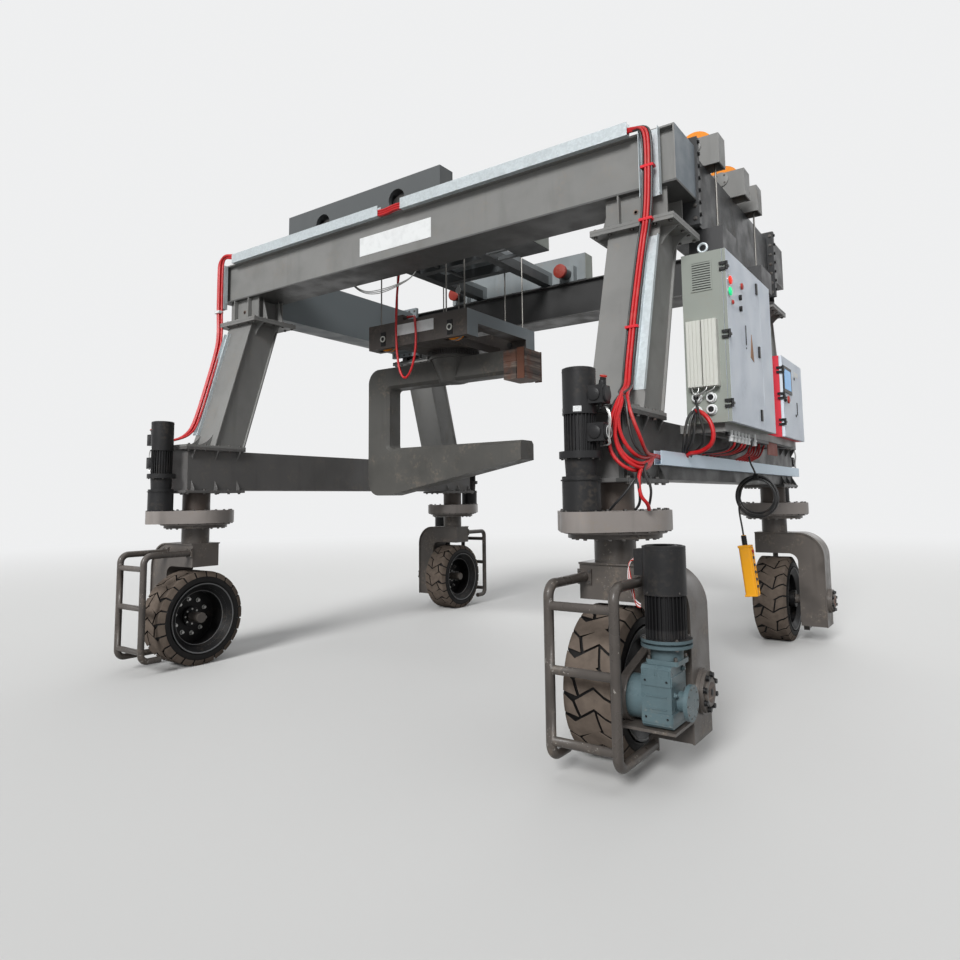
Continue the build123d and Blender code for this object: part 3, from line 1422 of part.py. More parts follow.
def arc_radii(route):
    """Return the radius of the arc at each inner point of a route, as large as its runs allow."""
    points = [Vector(*point) for point in route]
    radii = []
    for before, point, after in zip(points, points[1:], points[2:]):
        arriving = point - before
        leaving = after - point
        turn = math.radians(arriving.get_angle(leaving))
        radii.append(arc_share * min(arriving.length, leaving.length) / math.tan(turn / 2))
    return radii


def cable_path(name, route):
    """Return the path of a cable as a wire, and print its length and tightest arc."""
    radii = arc_radii(route)
    path = FilletPolyline(*route, radius=radii, mode=Mode.PRIVATE)
    print(name, "length", round(path.length), "radii", [round(radius) for radius in radii])
    return path


free_cables = (
    # name, route, radius
    ("pendant_cable_upper", pendant_lead_in, pendant_cable_radius),
    ("pendant_cable_lower", pendant_lead_out, pendant_cable_radius),
    ("head_block_cable", loop_route, loop_cable_radius),
)
for name, route, radius in free_cables:
    path = cable_path(name, route)
    with BuildPart() as cable:
        with BuildSketch(Plane(origin=path @ 0, z_dir=path % 0)):
            Circle(radius)
        sweep(path=path)
    print(name, "volume over section times length", cable.part.volume / (math.pi * radius**2 * path.length))
    cable.part.label = name
    export_step(cable.part, f"parts/{name}.step")

# The coil of spare pendant cable, as the solid that its turns fill
with BuildPart() as pendant_coil:
    coil_x, coil_y, coil_z = pendant_coil_centre
    with BuildSketch(Plane.XY.offset(coil_z)):
        with Locations((coil_x + pendant_coil_radius, coil_y)):
            Circle(pendant_coil_thickness)
    revolve(axis=Axis(pendant_coil_centre, (0, 1, 0)))
pendant_coil.part.label = "pendant_coil"
export_step(pendant_coil.part, "parts/pendant_coil.step")

# Pendant: a tall rounded box hanging from its cable sleeve, a little tilted
with BuildPart() as pendant:
    tilt = math.radians(pendant_tilt)
    hang = Plane(
        origin=pendant_lead_out[-1],
        x_dir=(math.cos(tilt), 0, math.sin(tilt)),
        z_dir=(math.sin(tilt), 0, -math.cos(tilt)),
    )
    with BuildSketch(hang):
        Circle(sleeve_radius)
    extrude(amount=sleeve_length)
    with BuildSketch(hang.offset(sleeve_length)):
        RectangleRounded(pendant_width, pendant_depth, pendant_round)
    extrude(amount=pendant_length)
pendant.part.label = "pendant"
export_step(pendant.part, "parts/pendant.step")
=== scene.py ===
import math

import bmesh
import bpy
from mathutils import Matrix, Vector


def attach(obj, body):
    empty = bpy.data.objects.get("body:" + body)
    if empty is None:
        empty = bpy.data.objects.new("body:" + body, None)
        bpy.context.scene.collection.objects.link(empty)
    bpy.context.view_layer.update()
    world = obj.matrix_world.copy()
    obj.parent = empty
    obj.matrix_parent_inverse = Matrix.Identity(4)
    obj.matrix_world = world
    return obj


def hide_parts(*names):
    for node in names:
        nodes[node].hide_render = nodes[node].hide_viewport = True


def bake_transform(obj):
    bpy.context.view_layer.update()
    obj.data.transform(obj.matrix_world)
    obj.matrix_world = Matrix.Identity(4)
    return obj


# Rubber tyred gantry crane with a slewing C hook, in metres.
# +X runs along the main girders, +Y is the direction of travel, +Z is up.

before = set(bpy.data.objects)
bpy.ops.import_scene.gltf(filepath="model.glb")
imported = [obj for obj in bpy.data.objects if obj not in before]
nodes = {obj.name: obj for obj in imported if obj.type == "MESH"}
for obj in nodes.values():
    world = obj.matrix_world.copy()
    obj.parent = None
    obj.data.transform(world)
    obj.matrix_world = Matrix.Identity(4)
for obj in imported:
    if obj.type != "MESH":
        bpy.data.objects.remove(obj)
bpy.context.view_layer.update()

# Sizes that the pieces here share with the frame
track_half = 2.31
wheelbase_half = 2.134
tyre_radius = 0.457
corners = (("a", -1, -1), ("b", 1, -1), ("c", 1, 1), ("d", -1, 1))
driven = "bd"

along_x, along_y, up, down = (1, 0, 0), (0, 1, 0), (0, 0, 1), (0, 0, -1)
ways = (-1, 1)
# Corners of a rectangle, in turn
round_corners = ((-1, -1), (1, -1), (1, 1), (-1, 1))


def srgb(red, green, blue):
    """Return a colour written in 0 to 255 as linear values."""
    return tuple(((v / 255 + 0.055) / 1.055) ** 2.4 for v in (red, green, blue)) + (1.0,)


def shade(colour, factor):
    """Return a colour made darker or lighter."""
    return tuple(min(v * factor, 1.0) for v in colour[:3]) + (1.0,)


def place(name, data):
    """Put a new object into the scene."""
    thing = bpy.data.objects.new(name, data)
    bpy.context.scene.collection.objects.link(thing)
    return thing


class Tree:
    """The shader nodes of a material or of the world."""

    def __init__(self, owner):
        owner.use_nodes = True
        self.tree = owner.node_tree

    def feed(self, socket, value):
        """Link a socket to another, or set it to a value."""
        if isinstance(value, bpy.types.NodeSocket):
            self.tree.links.new(value, socket)
        else:
            socket.default_value = value

    def node(self, kind, **values):
        """Add a node and set or link its inputs by name."""
        node = self.tree.nodes.new("ShaderNode" + kind)
        for name, value in values.items():
            self.feed(node.inputs[name.replace("_", " ")], value)
        return node

    def math(self, operation, first, second):
        """Return the result of a sum on two values."""
        node = self.node("Math")
        node.operation = operation
        node.use_clamp = operation == "ADD"
        self.feed(node.inputs[0], first)
        self.feed(node.inputs[1], second)
        return node.outputs["Value"]

    def mask(self, value, low, high, top=1.0):
        """Return a smooth step from 0 to top as a value goes from low to high."""
        step = self.node("MapRange", Value=value, From_Min=low, From_Max=high, To_Max=top)
        step.interpolation_type = "SMOOTHSTEP"
        return step.outputs["Result"]

    def mix(self, share, first, second):
        """Return a mix of two colours."""
        mix = self.node("Mix")
        mix.data_type = "RGBA"
        for index, value in ((0, share), (6, first), (7, second)):
            self.feed(mix.inputs[index], value)
        return mix.outputs[2]

    def seen(self):
        """Return 1 for rays that show the background: from the camera, off metal and through glass."""
        rays = self.node("LightPath").outputs
        total = self.math("ADD", rays["Is Camera Ray"], rays["Is Glossy Ray"])
        return self.math("ADD", total, rays["Is Transmission Ray"])

    def show(self, share, first, second, output):
        """Show a mix of two shaders."""
        mix = self.node("MixShader", Fac=share)
        self.feed(mix.inputs[1], first)
        self.feed(mix.inputs[2], second)
        self.feed(self.tree.nodes[output].inputs["Surface"], mix.outputs["Shader"])


# Camera and stage

camera_place = (4.267, -6.374, 1.599)
# Yaw, pitch and roll in degrees
camera_angles = (34.905, 5.558, -0.677)
camera_lens = 26.469
camera_shift = (-0.0065, -0.052)
floor_half = 120
floor_fade = (7, 26)
floor_colour = (0.7, 0.7, 0.69, 1.0)
floor_bounce = (0.1, 0.095, 0.09, 1.0)
backdrop_colour = (0.86, 0.865, 0.87, 1.0)
hall_colour = (0.93, 0.96, 1.0, 1.0)
hall_strength = 0.13
lamps = (
    # name, direction the light comes from, strength, angle across
    ("key", (0.22, -1.0, 0.6), 3.1, 22),
    ("fill", (0.75, -0.6, 0.05), 0.45, 60),
    ("top", (0.15, 0.1, 1.0), 0.7, 60),
    ("back", (-0.35, 1.0, 0.45), 0.6, 60),
)


def make_camera():
    """Place the camera where the photograph was taken from."""
    data = bpy.data.cameras.new("camera")
    data.lens = camera_lens
    data.sensor_width = 36
    data.shift_x, data.shift_y = camera_shift
    data.clip_start = 0.05
    data.clip_end = 500
    camera = place("camera", data)
    yaw, pitch, roll = camera_angles
    camera.matrix_world = (
        Matrix.Translation(camera_place)
        @ Matrix.Rotation(math.radians(yaw), 4, "Z")
        @ Matrix.Rotation(math.radians(90 + pitch), 4, "X")
        @ Matrix.Rotation(math.radians(roll), 4, "Z")
    )
    bpy.context.scene.camera = camera


def make_floor():
    """Make a pale floor that fades into the backdrop far from the crane."""
    mesh = bpy.data.meshes.new("floor")
    mesh.from_pydata([(floor_half * a, floor_half * b, 0) for a, b in round_corners], [], [(0, 1, 2, 3)])
    floor = place("floor", mesh)
    material = bpy.data.materials.new("floor")
    tree = Tree(material)
    shader = tree.tree.nodes["Principled BSDF"]
    tree.feed(shader.inputs["Base Color"], tree.mix(tree.seen(), floor_bounce, floor_colour))
    shader.inputs["Roughness"].default_value = 0.75
    length = tree.node("VectorMath")
    length.operation = "LENGTH"
    tree.feed(length.inputs[0], tree.node("TexCoord").outputs["Object"])
    far = tree.mask(length.outputs["Value"], *floor_fade)
    glow = tree.node("Emission", Color=backdrop_colour)
    tree.show(far, shader.outputs["BSDF"], glow.outputs["Emission"], "Material Output")
    mesh.materials.append(material)


def make_light():
    """Light the crane softly from the front, with a dim hall all round."""
    world = bpy.data.worlds.new("world")
    bpy.context.scene.world = world
    tree = Tree(world)
    sky = tree.tree.nodes["Background"]
    sky.inputs["Color"].default_value = hall_colour
    sky.inputs["Strength"].default_value = hall_strength
    backdrop = tree.node("Background", Color=backdrop_colour)
    tree.show(tree.seen(), sky.outputs["Background"], backdrop.outputs["Background"], "World Output")
    for name, source, strength, angle in lamps:
        data = bpy.data.lights.new(name, "SUN")
        data.energy = strength
        data.angle = math.radians(angle)
        lamp = place(name, data)
        lamp.rotation_mode = "QUATERNION"
        lamp.rotation_quaternion = Vector(source).to_track_quat("Z", "Y")
    bpy.context.scene.view_settings.view_transform = "Standard"


# Materials

dust = srgb(142, 128, 112)


class Finish(Tree):
    """One procedural material: a base colour with noise masks laid over it."""

    def __init__(self, name, colour, rough=0.5, metal=0.0, sheen=0.5):
        self.material = bpy.data.materials.new(name)
        super().__init__(self.material)
        self.inputs = self.tree.nodes["Principled BSDF"].inputs
        self.inputs["Metallic"].default_value = metal
        self.inputs["Roughness"].default_value = rough
        self.inputs["Specular IOR Level"].default_value = sheen
        self.inputs["Base Color"].default_value = colour
        self.colour = colour
        self.normal = None
        self.place = self.node("TexCoord").outputs["Object"]

    def noise(self, scale, detail=3, stretch=(1, 1, 1)):
        """Return cloudy noise, stretched where a number is under 1."""
        spot = self.node("Mapping", Vector=self.place, Scale=stretch).outputs["Vector"]
        return self.node("TexNoise", Vector=spot, Scale=scale, Detail=detail).outputs["Fac"]

    def patches(self, low, high, top, scale, detail=3, stretch=(1, 1, 1)):
        """Return a mask of cloudy patches."""
        return self.mask(self.noise(scale, detail, stretch), low, high, top)

    def layer(self, mask, colour):
        """Lay a colour over what is there, where the mask says."""
        self.colour = self.mix(mask, self.colour, colour)
        self.feed(self.inputs["Base Color"], self.colour)

    def rough(self, mask, low, high):
        """Let the roughness follow a mask."""
        step = self.node("MapRange", Value=mask, To_Min=low, To_Max=high)
        self.feed(self.inputs["Roughness"], step.outputs["Result"])

    def bump(self, height, distance, strength=1.0):
        """Raise the surface by a height map."""
        node = self.node("Bump", Height=height, Distance=distance, Strength=strength)
        if self.normal:
            self.feed(node.inputs["Normal"], self.normal)
        self.normal = node.outputs["Normal"]
        self.feed(self.inputs["Normal"], self.normal)

    def zone(self, colour, *tests):
        """Lay a colour over what lies past all the levels given, as axis, side and level."""
        split = self.node("SeparateXYZ", Vector=self.place).outputs
        found = None
        for axis, side, level in tests:
            past = self.math("GREATER_THAN" if side > 0 else "LESS_THAN", split[axis], level)
            found = self.math("MULTIPLY", found, past) if found else past
        self.layer(found, colour)


def paint(name, colour, rough=0.45, dirt=0.35, clouds=0.16, streaks=0.15, chips=0.0, sheen=0.35):
    """Sprayed paint: broad clouds of tone, settled dust, run marks and a little orange peel."""
    finish = Finish(name, colour, rough, 0.0, sheen)
    finish.layer(finish.patches(0.35, 0.7, 1.0, 1.3, 4), shade(colour, 1 + clouds))
    finish.layer(finish.patches(0.45, 0.75, 0.8, 3.1, 5), shade(colour, 1 - clouds))
    finish.layer(finish.patches(0.56, 0.74, streaks, 9, 4, (1, 1, 0.12)), shade(colour, 0.55))
    grime = finish.noise(5.3, 6)
    spots = finish.mask(grime, 0.48, 0.72)
    finish.layer(finish.math("MULTIPLY", spots, finish.patches(0.4, 0.7, dirt, 34, 6)), dust)
    if chips:
        chip = finish.math("MULTIPLY", finish.patches(0.63, 0.67, 1.0, 70, 5), finish.mask(grime, 0.5, 0.6))
        finish.layer(finish.mask(chip, 0.2, 0.5, chips), srgb(150, 146, 140))
    finish.rough(finish.mask(grime, 0.3, 0.75), rough - 0.06, rough + 0.18)
    finish.bump(finish.noise(420, 2), 0.0006, 0.5)
    return finish


def rubber(name, colour):
    """Black rubber with dust in its texture."""
    finish = Finish(name, colour, 0.72, 0.0, 0.2)
    finish.layer(finish.patches(0.42, 0.72, 0.5, 7, 6), shade(dust, 0.45))
    finish.bump(finish.noise(230, 4), 0.0008, 0.6)
    return finish


def tyre_rubber():
    """Tyre rubber: dusty brown on the tread, black in the grooves and on the sidewalls."""
    finish = Finish("tyre_rubber", srgb(17, 16, 16), 0.66, 0.0, 0.2)
    mark = finish.node("Attribute")
    mark.attribute_name = "tread"
    tread = mark.outputs["Fac"]
    worn = finish.patches(0.25, 0.7, 0.45, 16, 6)
    finish.layer(finish.patches(0.5, 0.8, 0.28, 5, 5), srgb(46, 42, 38))
    finish.layer(finish.mask(tread, 0.72, 0.99), srgb(94, 84, 76))
    finish.layer(finish.math("MULTIPLY", finish.mask(tread, 0.7, 0.98), worn), srgb(124, 112, 101))
    finish.rough(tread, 0.55, 0.88)
    finish.bump(finish.noise(120, 5), 0.0015, 0.5)
    return finish


def galvanised():
    """Hot dipped sheet: bright spangle cells over a brushed grey."""
    finish = Finish("galvanised", srgb(184, 192, 195), 0.4, 0.25)
    cells = finish.node("TexVoronoi", Vector=finish.place, Scale=62).outputs["Color"]
    finish.layer(finish.mask(cells, 0.1, 0.9, 0.4), srgb(214, 222, 225))
    finish.layer(finish.patches(0.5, 0.75, 0.3, 6, 4), srgb(160, 166, 167))
    finish.rough(cells, 0.36, 0.54)
    return finish


def bare_steel(name, colour, rough, rust):
    """Bare or oiled steel with a little rust."""
    finish = Finish(name, colour, rough, 0.9)
    finish.layer(finish.patches(0.55, 0.75, rust, 26, 6), srgb(96, 62, 44))
    finish.layer(finish.patches(0.4, 0.7, 0.4, 4), shade(colour, 0.6))
    finish.bump(finish.noise(300, 3, (1, 1, 0.1)), 0.0003, 0.5)
    return finish


def rusty_steel():
    """Cut slabs with mill scale in thin layers, rust and a few runs."""
    finish = Finish("rusty_steel", srgb(92, 80, 73), 0.62, 0.2)
    layers = finish.noise(26, 3, (0.04, 0.04, 1))
    finish.layer(finish.mask(layers, 0.5, 0.56, 0.8), srgb(58, 50, 47))
    finish.layer(finish.mask(layers, 0.42, 0.36, 0.8), srgb(136, 122, 112))
    finish.layer(finish.patches(0.45, 0.66, 0.8, 7, 6), srgb(112, 74, 58))
    finish.layer(finish.patches(0.6, 0.72, 0.5, 11, 4, (1, 1, 0.2)), srgb(140, 98, 74))
    finish.bump(layers, 0.004, 0.6)
    finish.bump(finish.noise(60, 6), 0.002, 0.6)
    return finish


def plain(name, colour, rough, glow=0.0):
    """Moulded plastic or plated trim with a faint variation of tone."""
    finish = Finish(name, colour, rough, 0.0, 0.25)
    finish.layer(finish.patches(0.4, 0.7, 0.5, 14, 4), shade(colour, 0.82))
    finish.bump(finish.noise(500, 2), 0.0003, 0.4)
    if glow:
        finish.inputs["Emission Color"].default_value = colour
        finish.inputs["Emission Strength"].default_value = glow
    return finish


def cable(name, colour):
    """Cable sheath: smooth, with dull scuffs and dust."""
    finish = Finish(name, colour, 0.42)
    finish.layer(finish.patches(0.5, 0.72, 0.4, 30, 4), shade(colour, 0.6))
    finish.layer(finish.patches(0.55, 0.8, 0.25, 9, 5), dust)
    finish.bump(finish.noise(240, 3), 0.0004, 0.5)
    return finish


structure = (123, 123, 121)
# The cabinet's pale paint in two copies: lighter as painted light on faces towards +X, darker as painted
# shade on its sides
lit_door_grey = (213, 221, 231)
shaded_side_grey = (139, 144, 137)
orange = (232, 138, 22)
black = (20, 20, 21)
soot = (24, 24, 25)

recipes = (
    # kind, name, colour and settings. Paint: roughness, dirt, clouds, streaks, chips, sheen
    (paint, "structure", structure, 0.44, 0.2, 0.14, 0.25),
    (paint, "girder", structure, 0.42, 0.2, 0.14, 0.22),
    (paint, "housing", (136, 130, 126), 0.42, 0.35, 0.14, 0.3, 0.3),
    (paint, "head_block", (72, 67, 64), 0.44, 0.3, 0.16, 0.3),
    (paint, "sheave", orange, 0.42, 0.25, 0.1, 0.1),
    (paint, "block_sheave", orange, 0.42, 0.25, 0.1, 0.1),
    (paint, "fork", (84, 79, 75), 0.34, 0.4, 0.24, 0.25, 0.5),
    (paint, "guard", (76, 71, 67), 0.3, 0.3, 0.34, 0.4, 0.8),
    # Painted shade: the end beam's paint is set dark, as the outer end beam's faces in shade
    (paint, "end_beam", (53, 54, 55), 0.4, 0.2, 0.2, 0.3, 0.0, 0.25),
    (paint, "sill", (94, 93, 92), 0.42, 0.2, 0.16, 0.3),
    (paint, "rope_box", structure, 0.44, 0.2, 0.14, 0.25),
    (paint, "hook", (78, 77, 74), 0.46, 0.3, 0.15, 0.3),
    (paint, "motor", (40, 40, 41), 0.36, 0.12, 0.12, 0.1, 0.0, 0.16),
    (paint, "gearbox", (82, 100, 105), 0.3, 0.25, 0.16, 0.2, 0.3),
    (paint, "drive_motor", (38, 38, 39), 0.34, 0.08, 0.12, 0.1, 0.0, 0.16),
    (paint, "cabinet", shaded_side_grey, 0.42, 0.12, 0.03, 0.04),
    (paint, "small_shell", (226, 58, 74), 0.4, 0.1, 0.05, 0.05),
    (paint, "door", lit_door_grey, 0.4, 0.1, 0.03, 0.05),
    (paint, "small_door", lit_door_grey, 0.4, 0.1, 0.03, 0.05),
    (paint, "resistor", (198, 199, 192), 0.4, 0.12, 0.04, 0.06),
    (paint, "rim", black, 0.36, 0.12, 0.15, 0.1, 0.0, 0.16),
    (paint, "rim_ring", (98, 99, 100), 0.4, 0.5, 0.2, 0.2),
    (paint, "red_paint", (168, 44, 34), 0.42, 0.2, 0.1, 0.1),
    (paint, "red_panel", (216, 40, 52), 0.4, 0.1, 0.05, 0.05),
    (paint, "trolley", (132, 138, 140), 0.42, 0.3, 0.18, 0.25),
    (paint, "cap_red", (140, 48, 38), 0.45, 0.25, 0.1, 0.1),
    (paint, "strap", (104, 66, 50), 0.6, 0.2, 0.2, 0.3),
    (paint, "yellow", (222, 154, 22), 0.4, 0.2, 0.08, 0.08),
    (paint, "rust_red", (118, 62, 52), 0.6, 0.3, 0.2, 0.3),
    (rubber, "rubber", (28, 27, 27)),
    (cable, "black_cable", (26, 26, 27)),
    (cable, "red_cable", (186, 20, 26)),
    # Steel: roughness, rust
    (bare_steel, "rope", (120, 118, 114), 0.42, 0.25),
    (bare_steel, "bolt", (92, 90, 88), 0.36, 0.35),
    (bare_steel, "bright", (176, 176, 174), 0.3, 0.08),
    # Plastic: roughness, glow
    (plain, "black", black, 0.42),
    (plain, "white", (226, 228, 228), 0.4),
    (plain, "red_lamp", (236, 48, 30), 0.25, 0.5),
    (plain, "green_lamp", (26, 214, 136), 0.25, 0.6),
    (plain, "kraft", (150, 112, 84), 0.6),
    (plain, "screen", (70, 148, 206), 0.2, 0.35),
)
finishes = {name: kind(name, srgb(*colour), *rest) for kind, name, colour, *rest in recipes}
finishes["tyre"] = tyre_rubber()
finishes["galvanised"] = galvanised()
finishes["rusty"] = rusty_steel()

zones = (
    # finish, colour of what lies past all the levels, each as axis, side and level
    # Painted shade: the rear girder, past y 0.5, is painted dark as if it stood in the hall's shade
    ("girder", (50, 50, 50), ("Y", 1, 0.5)),
    # Painted light: the front girder's end past x 2.64 takes a bluish grey, the tint of light on its faces
    # towards +X
    ("girder", (114, 123, 130), ("X", 1, 2.6395), ("Y", -1, 0)),
    ("girder", (84, 84, 83), ("Z", -1, 3.847), ("Z", 1, 3.8285)),
    # Painted shade: the housing above its top flange is painted dark brown, as the head in shade with a
    # painted brown reflection of the floor
    ("housing", (74, 65, 59), ("Z", 1, 1.5165)),
    # Painted light and shade: the head block's end past x 0.062 is painted a lighter blue grey, as the face
    # lit from +X, against its darker shaded front
    ("head_block", (128, 136, 140), ("X", 1, 0.062)),
    ("head_block", (44, 41, 39), ("Z", -1, 3.2795)),
    # Painted light: the end beam at x under 0 is painted a lighter lit grey than the other end beam, in the
    # same paint
    ("end_beam", (120, 127, 130), ("X", -1, 0)),
    # Painted shade: the sill's outer side past x 2.45 is painted darker, as in shade
    ("sill", (62, 62, 61), ("X", 1, 2.45)),
    # Painted shade: the rope boxes' parts below 4 m, under the girder, are painted dark as in its shade
    ("rope_box", (64, 64, 65), ("Z", -1, 4.0)),
    ("drive_motor", (82, 98, 103), ("Z", -1, 0.812)),
    ("drive_motor", soot, ("Z", 1, 0.862), ("Z", -1, 1.05)),
    # Painted light: the shell's front rim takes the lit door grey
    ("cabinet", lit_door_grey, ("X", 1, 2.8545)),
    ("cabinet", black, ("Y", -1, -1.3965), ("X", 1, 2.8)),
    ("small_shell", soot, ("Y", -1, 0.2155)),
    # The doors' hinged edges, and their hinge leaves, which stand proud of the front or the edge. The main
    # door's hinged edge takes the side grey as painted shade.
    ("door", shaded_side_grey, ("Y", -1, -1.3955)),
    ("door", black, ("X", 1, 2.8822)),
    ("door", black, ("Y", -1, -1.3965)),
    ("small_door", lit_door_grey, ("Y", -1, 0.2165)),
    ("small_door", black, ("X", 1, 2.8822)),
    ("small_door", black, ("Y", -1, 0.2155)),
    # Painted shade: the trolley's carriage past y -1.345 is painted darker than the same paint elsewhere, as
    # in shade
    ("trolley", (86, 89, 90), ("Y", -1, -1.345)),
    # Painted shade: the trolley frame's low middle, under the front girder, is painted dark as in the
    # girder's shadow
    ("trolley", (76, 79, 80), ("Y", 1, -1.25), ("Y", -1, 1.25), ("Z", -1, 4.4)),
    # The tray along the outer sill is painted a bright bluish white: partly the sheet's own brightness,
    # partly painted light from the sky
    ("galvanised", (212, 230, 243), ("X", 1, 2.49), ("Z", -1, 1.91)),
)
for name, colour, *tests in zones:
    finishes[name].zone(srgb(*colour), *tests)
# Beside the sheaves lie the ends of their axles
for name, colour, spans in (
    ("sheave", (96, 96, 95), ((-9, -0.801), (-0.739, -0.046), (0.016, 0.379), (0.441, 9))),
    ("block_sheave", (52, 51, 50), ((-9, -0.603), (-0.541, 0.541), (0.603, 9))),
):
    for near, far in spans:
        finishes[name].zone(srgb(*colour), ("Y", 1, near), ("Y", -1, far))

# The finishes that each of the record's material slots takes
slot_finishes = {
    "tyre_rubber": "tyre", "rim_paint": "rim_ring", "gearbox_paint": "gearbox", "guard_paint": "guard",
    "structure_paint": "structure", "cabinet_paint": "cabinet", "orange_paint": "kraft",
    "pendant_yellow": "yellow", "black_cable": "black_cable", "rope_steel": "bolt rope galvanised",
    "motor_paint": "black motor", "rusty_steel": "rusty strap rust_red",
    "door_paint": "door small_door screen green_lamp",
    "red_cable": "red_cable red_lamp red_paint red_panel cap_red",
    "resistor_paint": "bright white resistor",
}
slots = {finish: slot for slot, names in slot_finishes.items() for finish in names.split()}


# Pieces

flat_angle = math.radians(34)


def cross_axes(axis):
    """Return two unit vectors square to an axis and to each other."""
    axis = Vector(axis).normalized()
    hint = Vector(up) if abs(axis.z) < 0.9 else Vector(along_x)
    first = hint.cross(axis).normalized()
    return first, axis.cross(first)


def circle(centre, axis, radius, sides, turn=0.0):
    """Return points on a circle."""
    first, second = cross_axes(axis)
    angles = [turn + 2 * math.pi * i / sides for i in range(sides)]
    return [Vector(centre) + radius * (math.cos(a) * first + math.sin(a) * second) for a in angles]


class Kit:
    """Gathers boxes, discs, tubes and bolts into one piece, at a corner where one is given."""

    def __init__(self, corner=None):
        self.corner = corner
        self.points = []
        self.faces = []
        self.marks = {}

    def loft(self, rings, caps=True, closed=False):
        """Join rings of as many points each, one after another."""
        start = len(self.points)
        count = len(rings[0])
        for ring in rings:
            self.points.extend(Vector(point) for point in ring)
        for step in range(len(rings) if closed else len(rings) - 1):
            here = start + step * count
            after = start + (step + 1) % len(rings) * count
            for i in range(count):
                j = (i + 1) % count
                self.faces.append((here + i, here + j, after + j, after + i))
        if caps and not closed:
            self.faces.append(tuple(range(start + count - 1, start - 1, -1)))
            last = start + (len(rings) - 1) * count
            self.faces.append(tuple(range(last, last + count)))
        return self

    def box(self, low, high):
        """Add a box between two corners."""
        (x0, y0, z0), (x1, y1, z1) = low, high
        return self.loft([[(x0, y0, z), (x1, y0, z), (x1, y1, z), (x0, y1, z)] for z in (z0, z1)])

    def lathe(self, start, axis, profile, sides=24, caps=True):
        """Turn a profile of (distance along the axis, radius) about the axis."""
        axis = Vector(axis).normalized()
        rings = [circle(Vector(start) + axis * along, axis, radius, sides) for along, radius in profile]
        return self.loft(rings, caps)

    def disc(self, start, end, radius, sides):
        """Add a cylinder between two points."""
        span = Vector(end) - Vector(start)
        return self.lathe(start, span, ((0, radius), (span.length, radius)), sides)

    def bolt(self, at, axis, size, height=None):
        """Add a hexagon head on a washer."""
        axis = Vector(axis).normalized()
        height = height or size * 0.42
        self.lathe(at, axis, ((0, size * 0.72), (size * 0.1, size * 0.72)), 14)
        head = ((0, size * 0.55), (height * 0.85, size * 0.55), (height, size * 0.46))
        return self.lathe(Vector(at) + axis * size * 0.1, axis, head, 6)

    def bolts(self, spots, axis, size):
        """Add a bolt at each spot."""
        for spot in spots:
            self.bolt(spot, axis, size)
        return self

    def tube(self, path, radius, sides=10, caps=True):
        """Sweep a circle along a path of points."""
        path = [Vector(point) for point in path]
        first, _ = cross_axes(path[1] - path[0])
        angles = [2 * math.pi * j / sides for j in range(sides)]
        rings = []
        for i, point in enumerate(path):
            along = (path[min(i + 1, len(path) - 1)] - path[max(i - 1, 0)]).normalized()
            first = (first - along * first.dot(along)).normalized()
            second = along.cross(first)
            rings.append([point + radius * (math.cos(a) * first + math.sin(a) * second) for a in angles])
        return self.loft(rings, caps)

    def cable(self, route, radius, resolution=4, sides=8):
        """Lay a cable along a smooth line through a route."""
        return self.tube(spline_points(route, resolution), radius, sides)

    def mesh(self, name, finish, side=1, end=1):
        """Return what was gathered as a mesh, with its faces outwards and its sharp edges marked."""
        mesh = bpy.data.meshes.new(name)
        mesh.from_pydata([(p.x * side, p.y * end, p.z) for p in self.points], [], self.faces)
        for key, values in self.marks.items():
            mesh.attributes.new(key, "FLOAT", "POINT").data.foreach_set("value", values)
        mesh.validate()
        work = bmesh.new()
        work.from_mesh(mesh)
        bmesh.ops.recalc_face_normals(work, faces=work.faces)
        work.to_mesh(mesh)
        work.free()
        mesh.shade_smooth()
        mesh.set_sharp_from_angle(angle=flat_angle)
        mesh.materials.append(finishes[finish].material)
        return mesh

    def piece(self, name, body, finish, bevel=0.0, slot=None):
        """Make the piece and let it ride. A corner's piece is mirrored there and takes its letter."""
        letter, side, end = self.corner or ("", 1, 1)
        name += letter and f"_{letter}"
        body += f"_{letter}" if body in ("wheel", "fork") else ""
        slot = slot or slots[finish]
        piece = place(name, self.mesh(name, finish, side, end))
        if bevel:
            round_edges(piece, bevel)
        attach(piece, body)
        return piece


def round_edges(piece, width):
    """Round a piece's sharp edges, so that they catch the light."""
    bevel = piece.modifiers.new("rounded edges", "BEVEL")
    bevel.width = width
    bevel.segments = 2
    bevel.limit_method = "ANGLE"
    bevel.angle_limit = flat_angle
    bevel.harden_normals = True


def spline(name, points, depth=0.0, resolution=6):
    """Return a NURBS curve that follows points, as a tube where it has a depth."""
    data = bpy.data.curves.new(name, "CURVE")
    data.dimensions = "3D"
    data.bevel_depth = depth
    data.bevel_resolution = 3
    data.resolution_u = resolution
    data.use_fill_caps = True
    line = data.splines.new("NURBS")
    line.points.add(len(points) - 1)
    for point, spot in zip(line.points, points):
        point.co = (*spot, 1.0)
    line.order_u = 3
    line.use_endpoint_u = True
    return place(name, data)


def spline_points(points, resolution=6):
    """Return the points of a NURBS line through the control points."""
    curve = spline("line", points, 0.0, resolution)
    mesh = bpy.data.meshes.new_from_object(curve)
    found = [vertex.co.copy() for vertex in mesh.vertices]
    bpy.data.objects.remove(curve)
    bpy.data.meshes.remove(mesh)
    return found


# The frame's own nodes

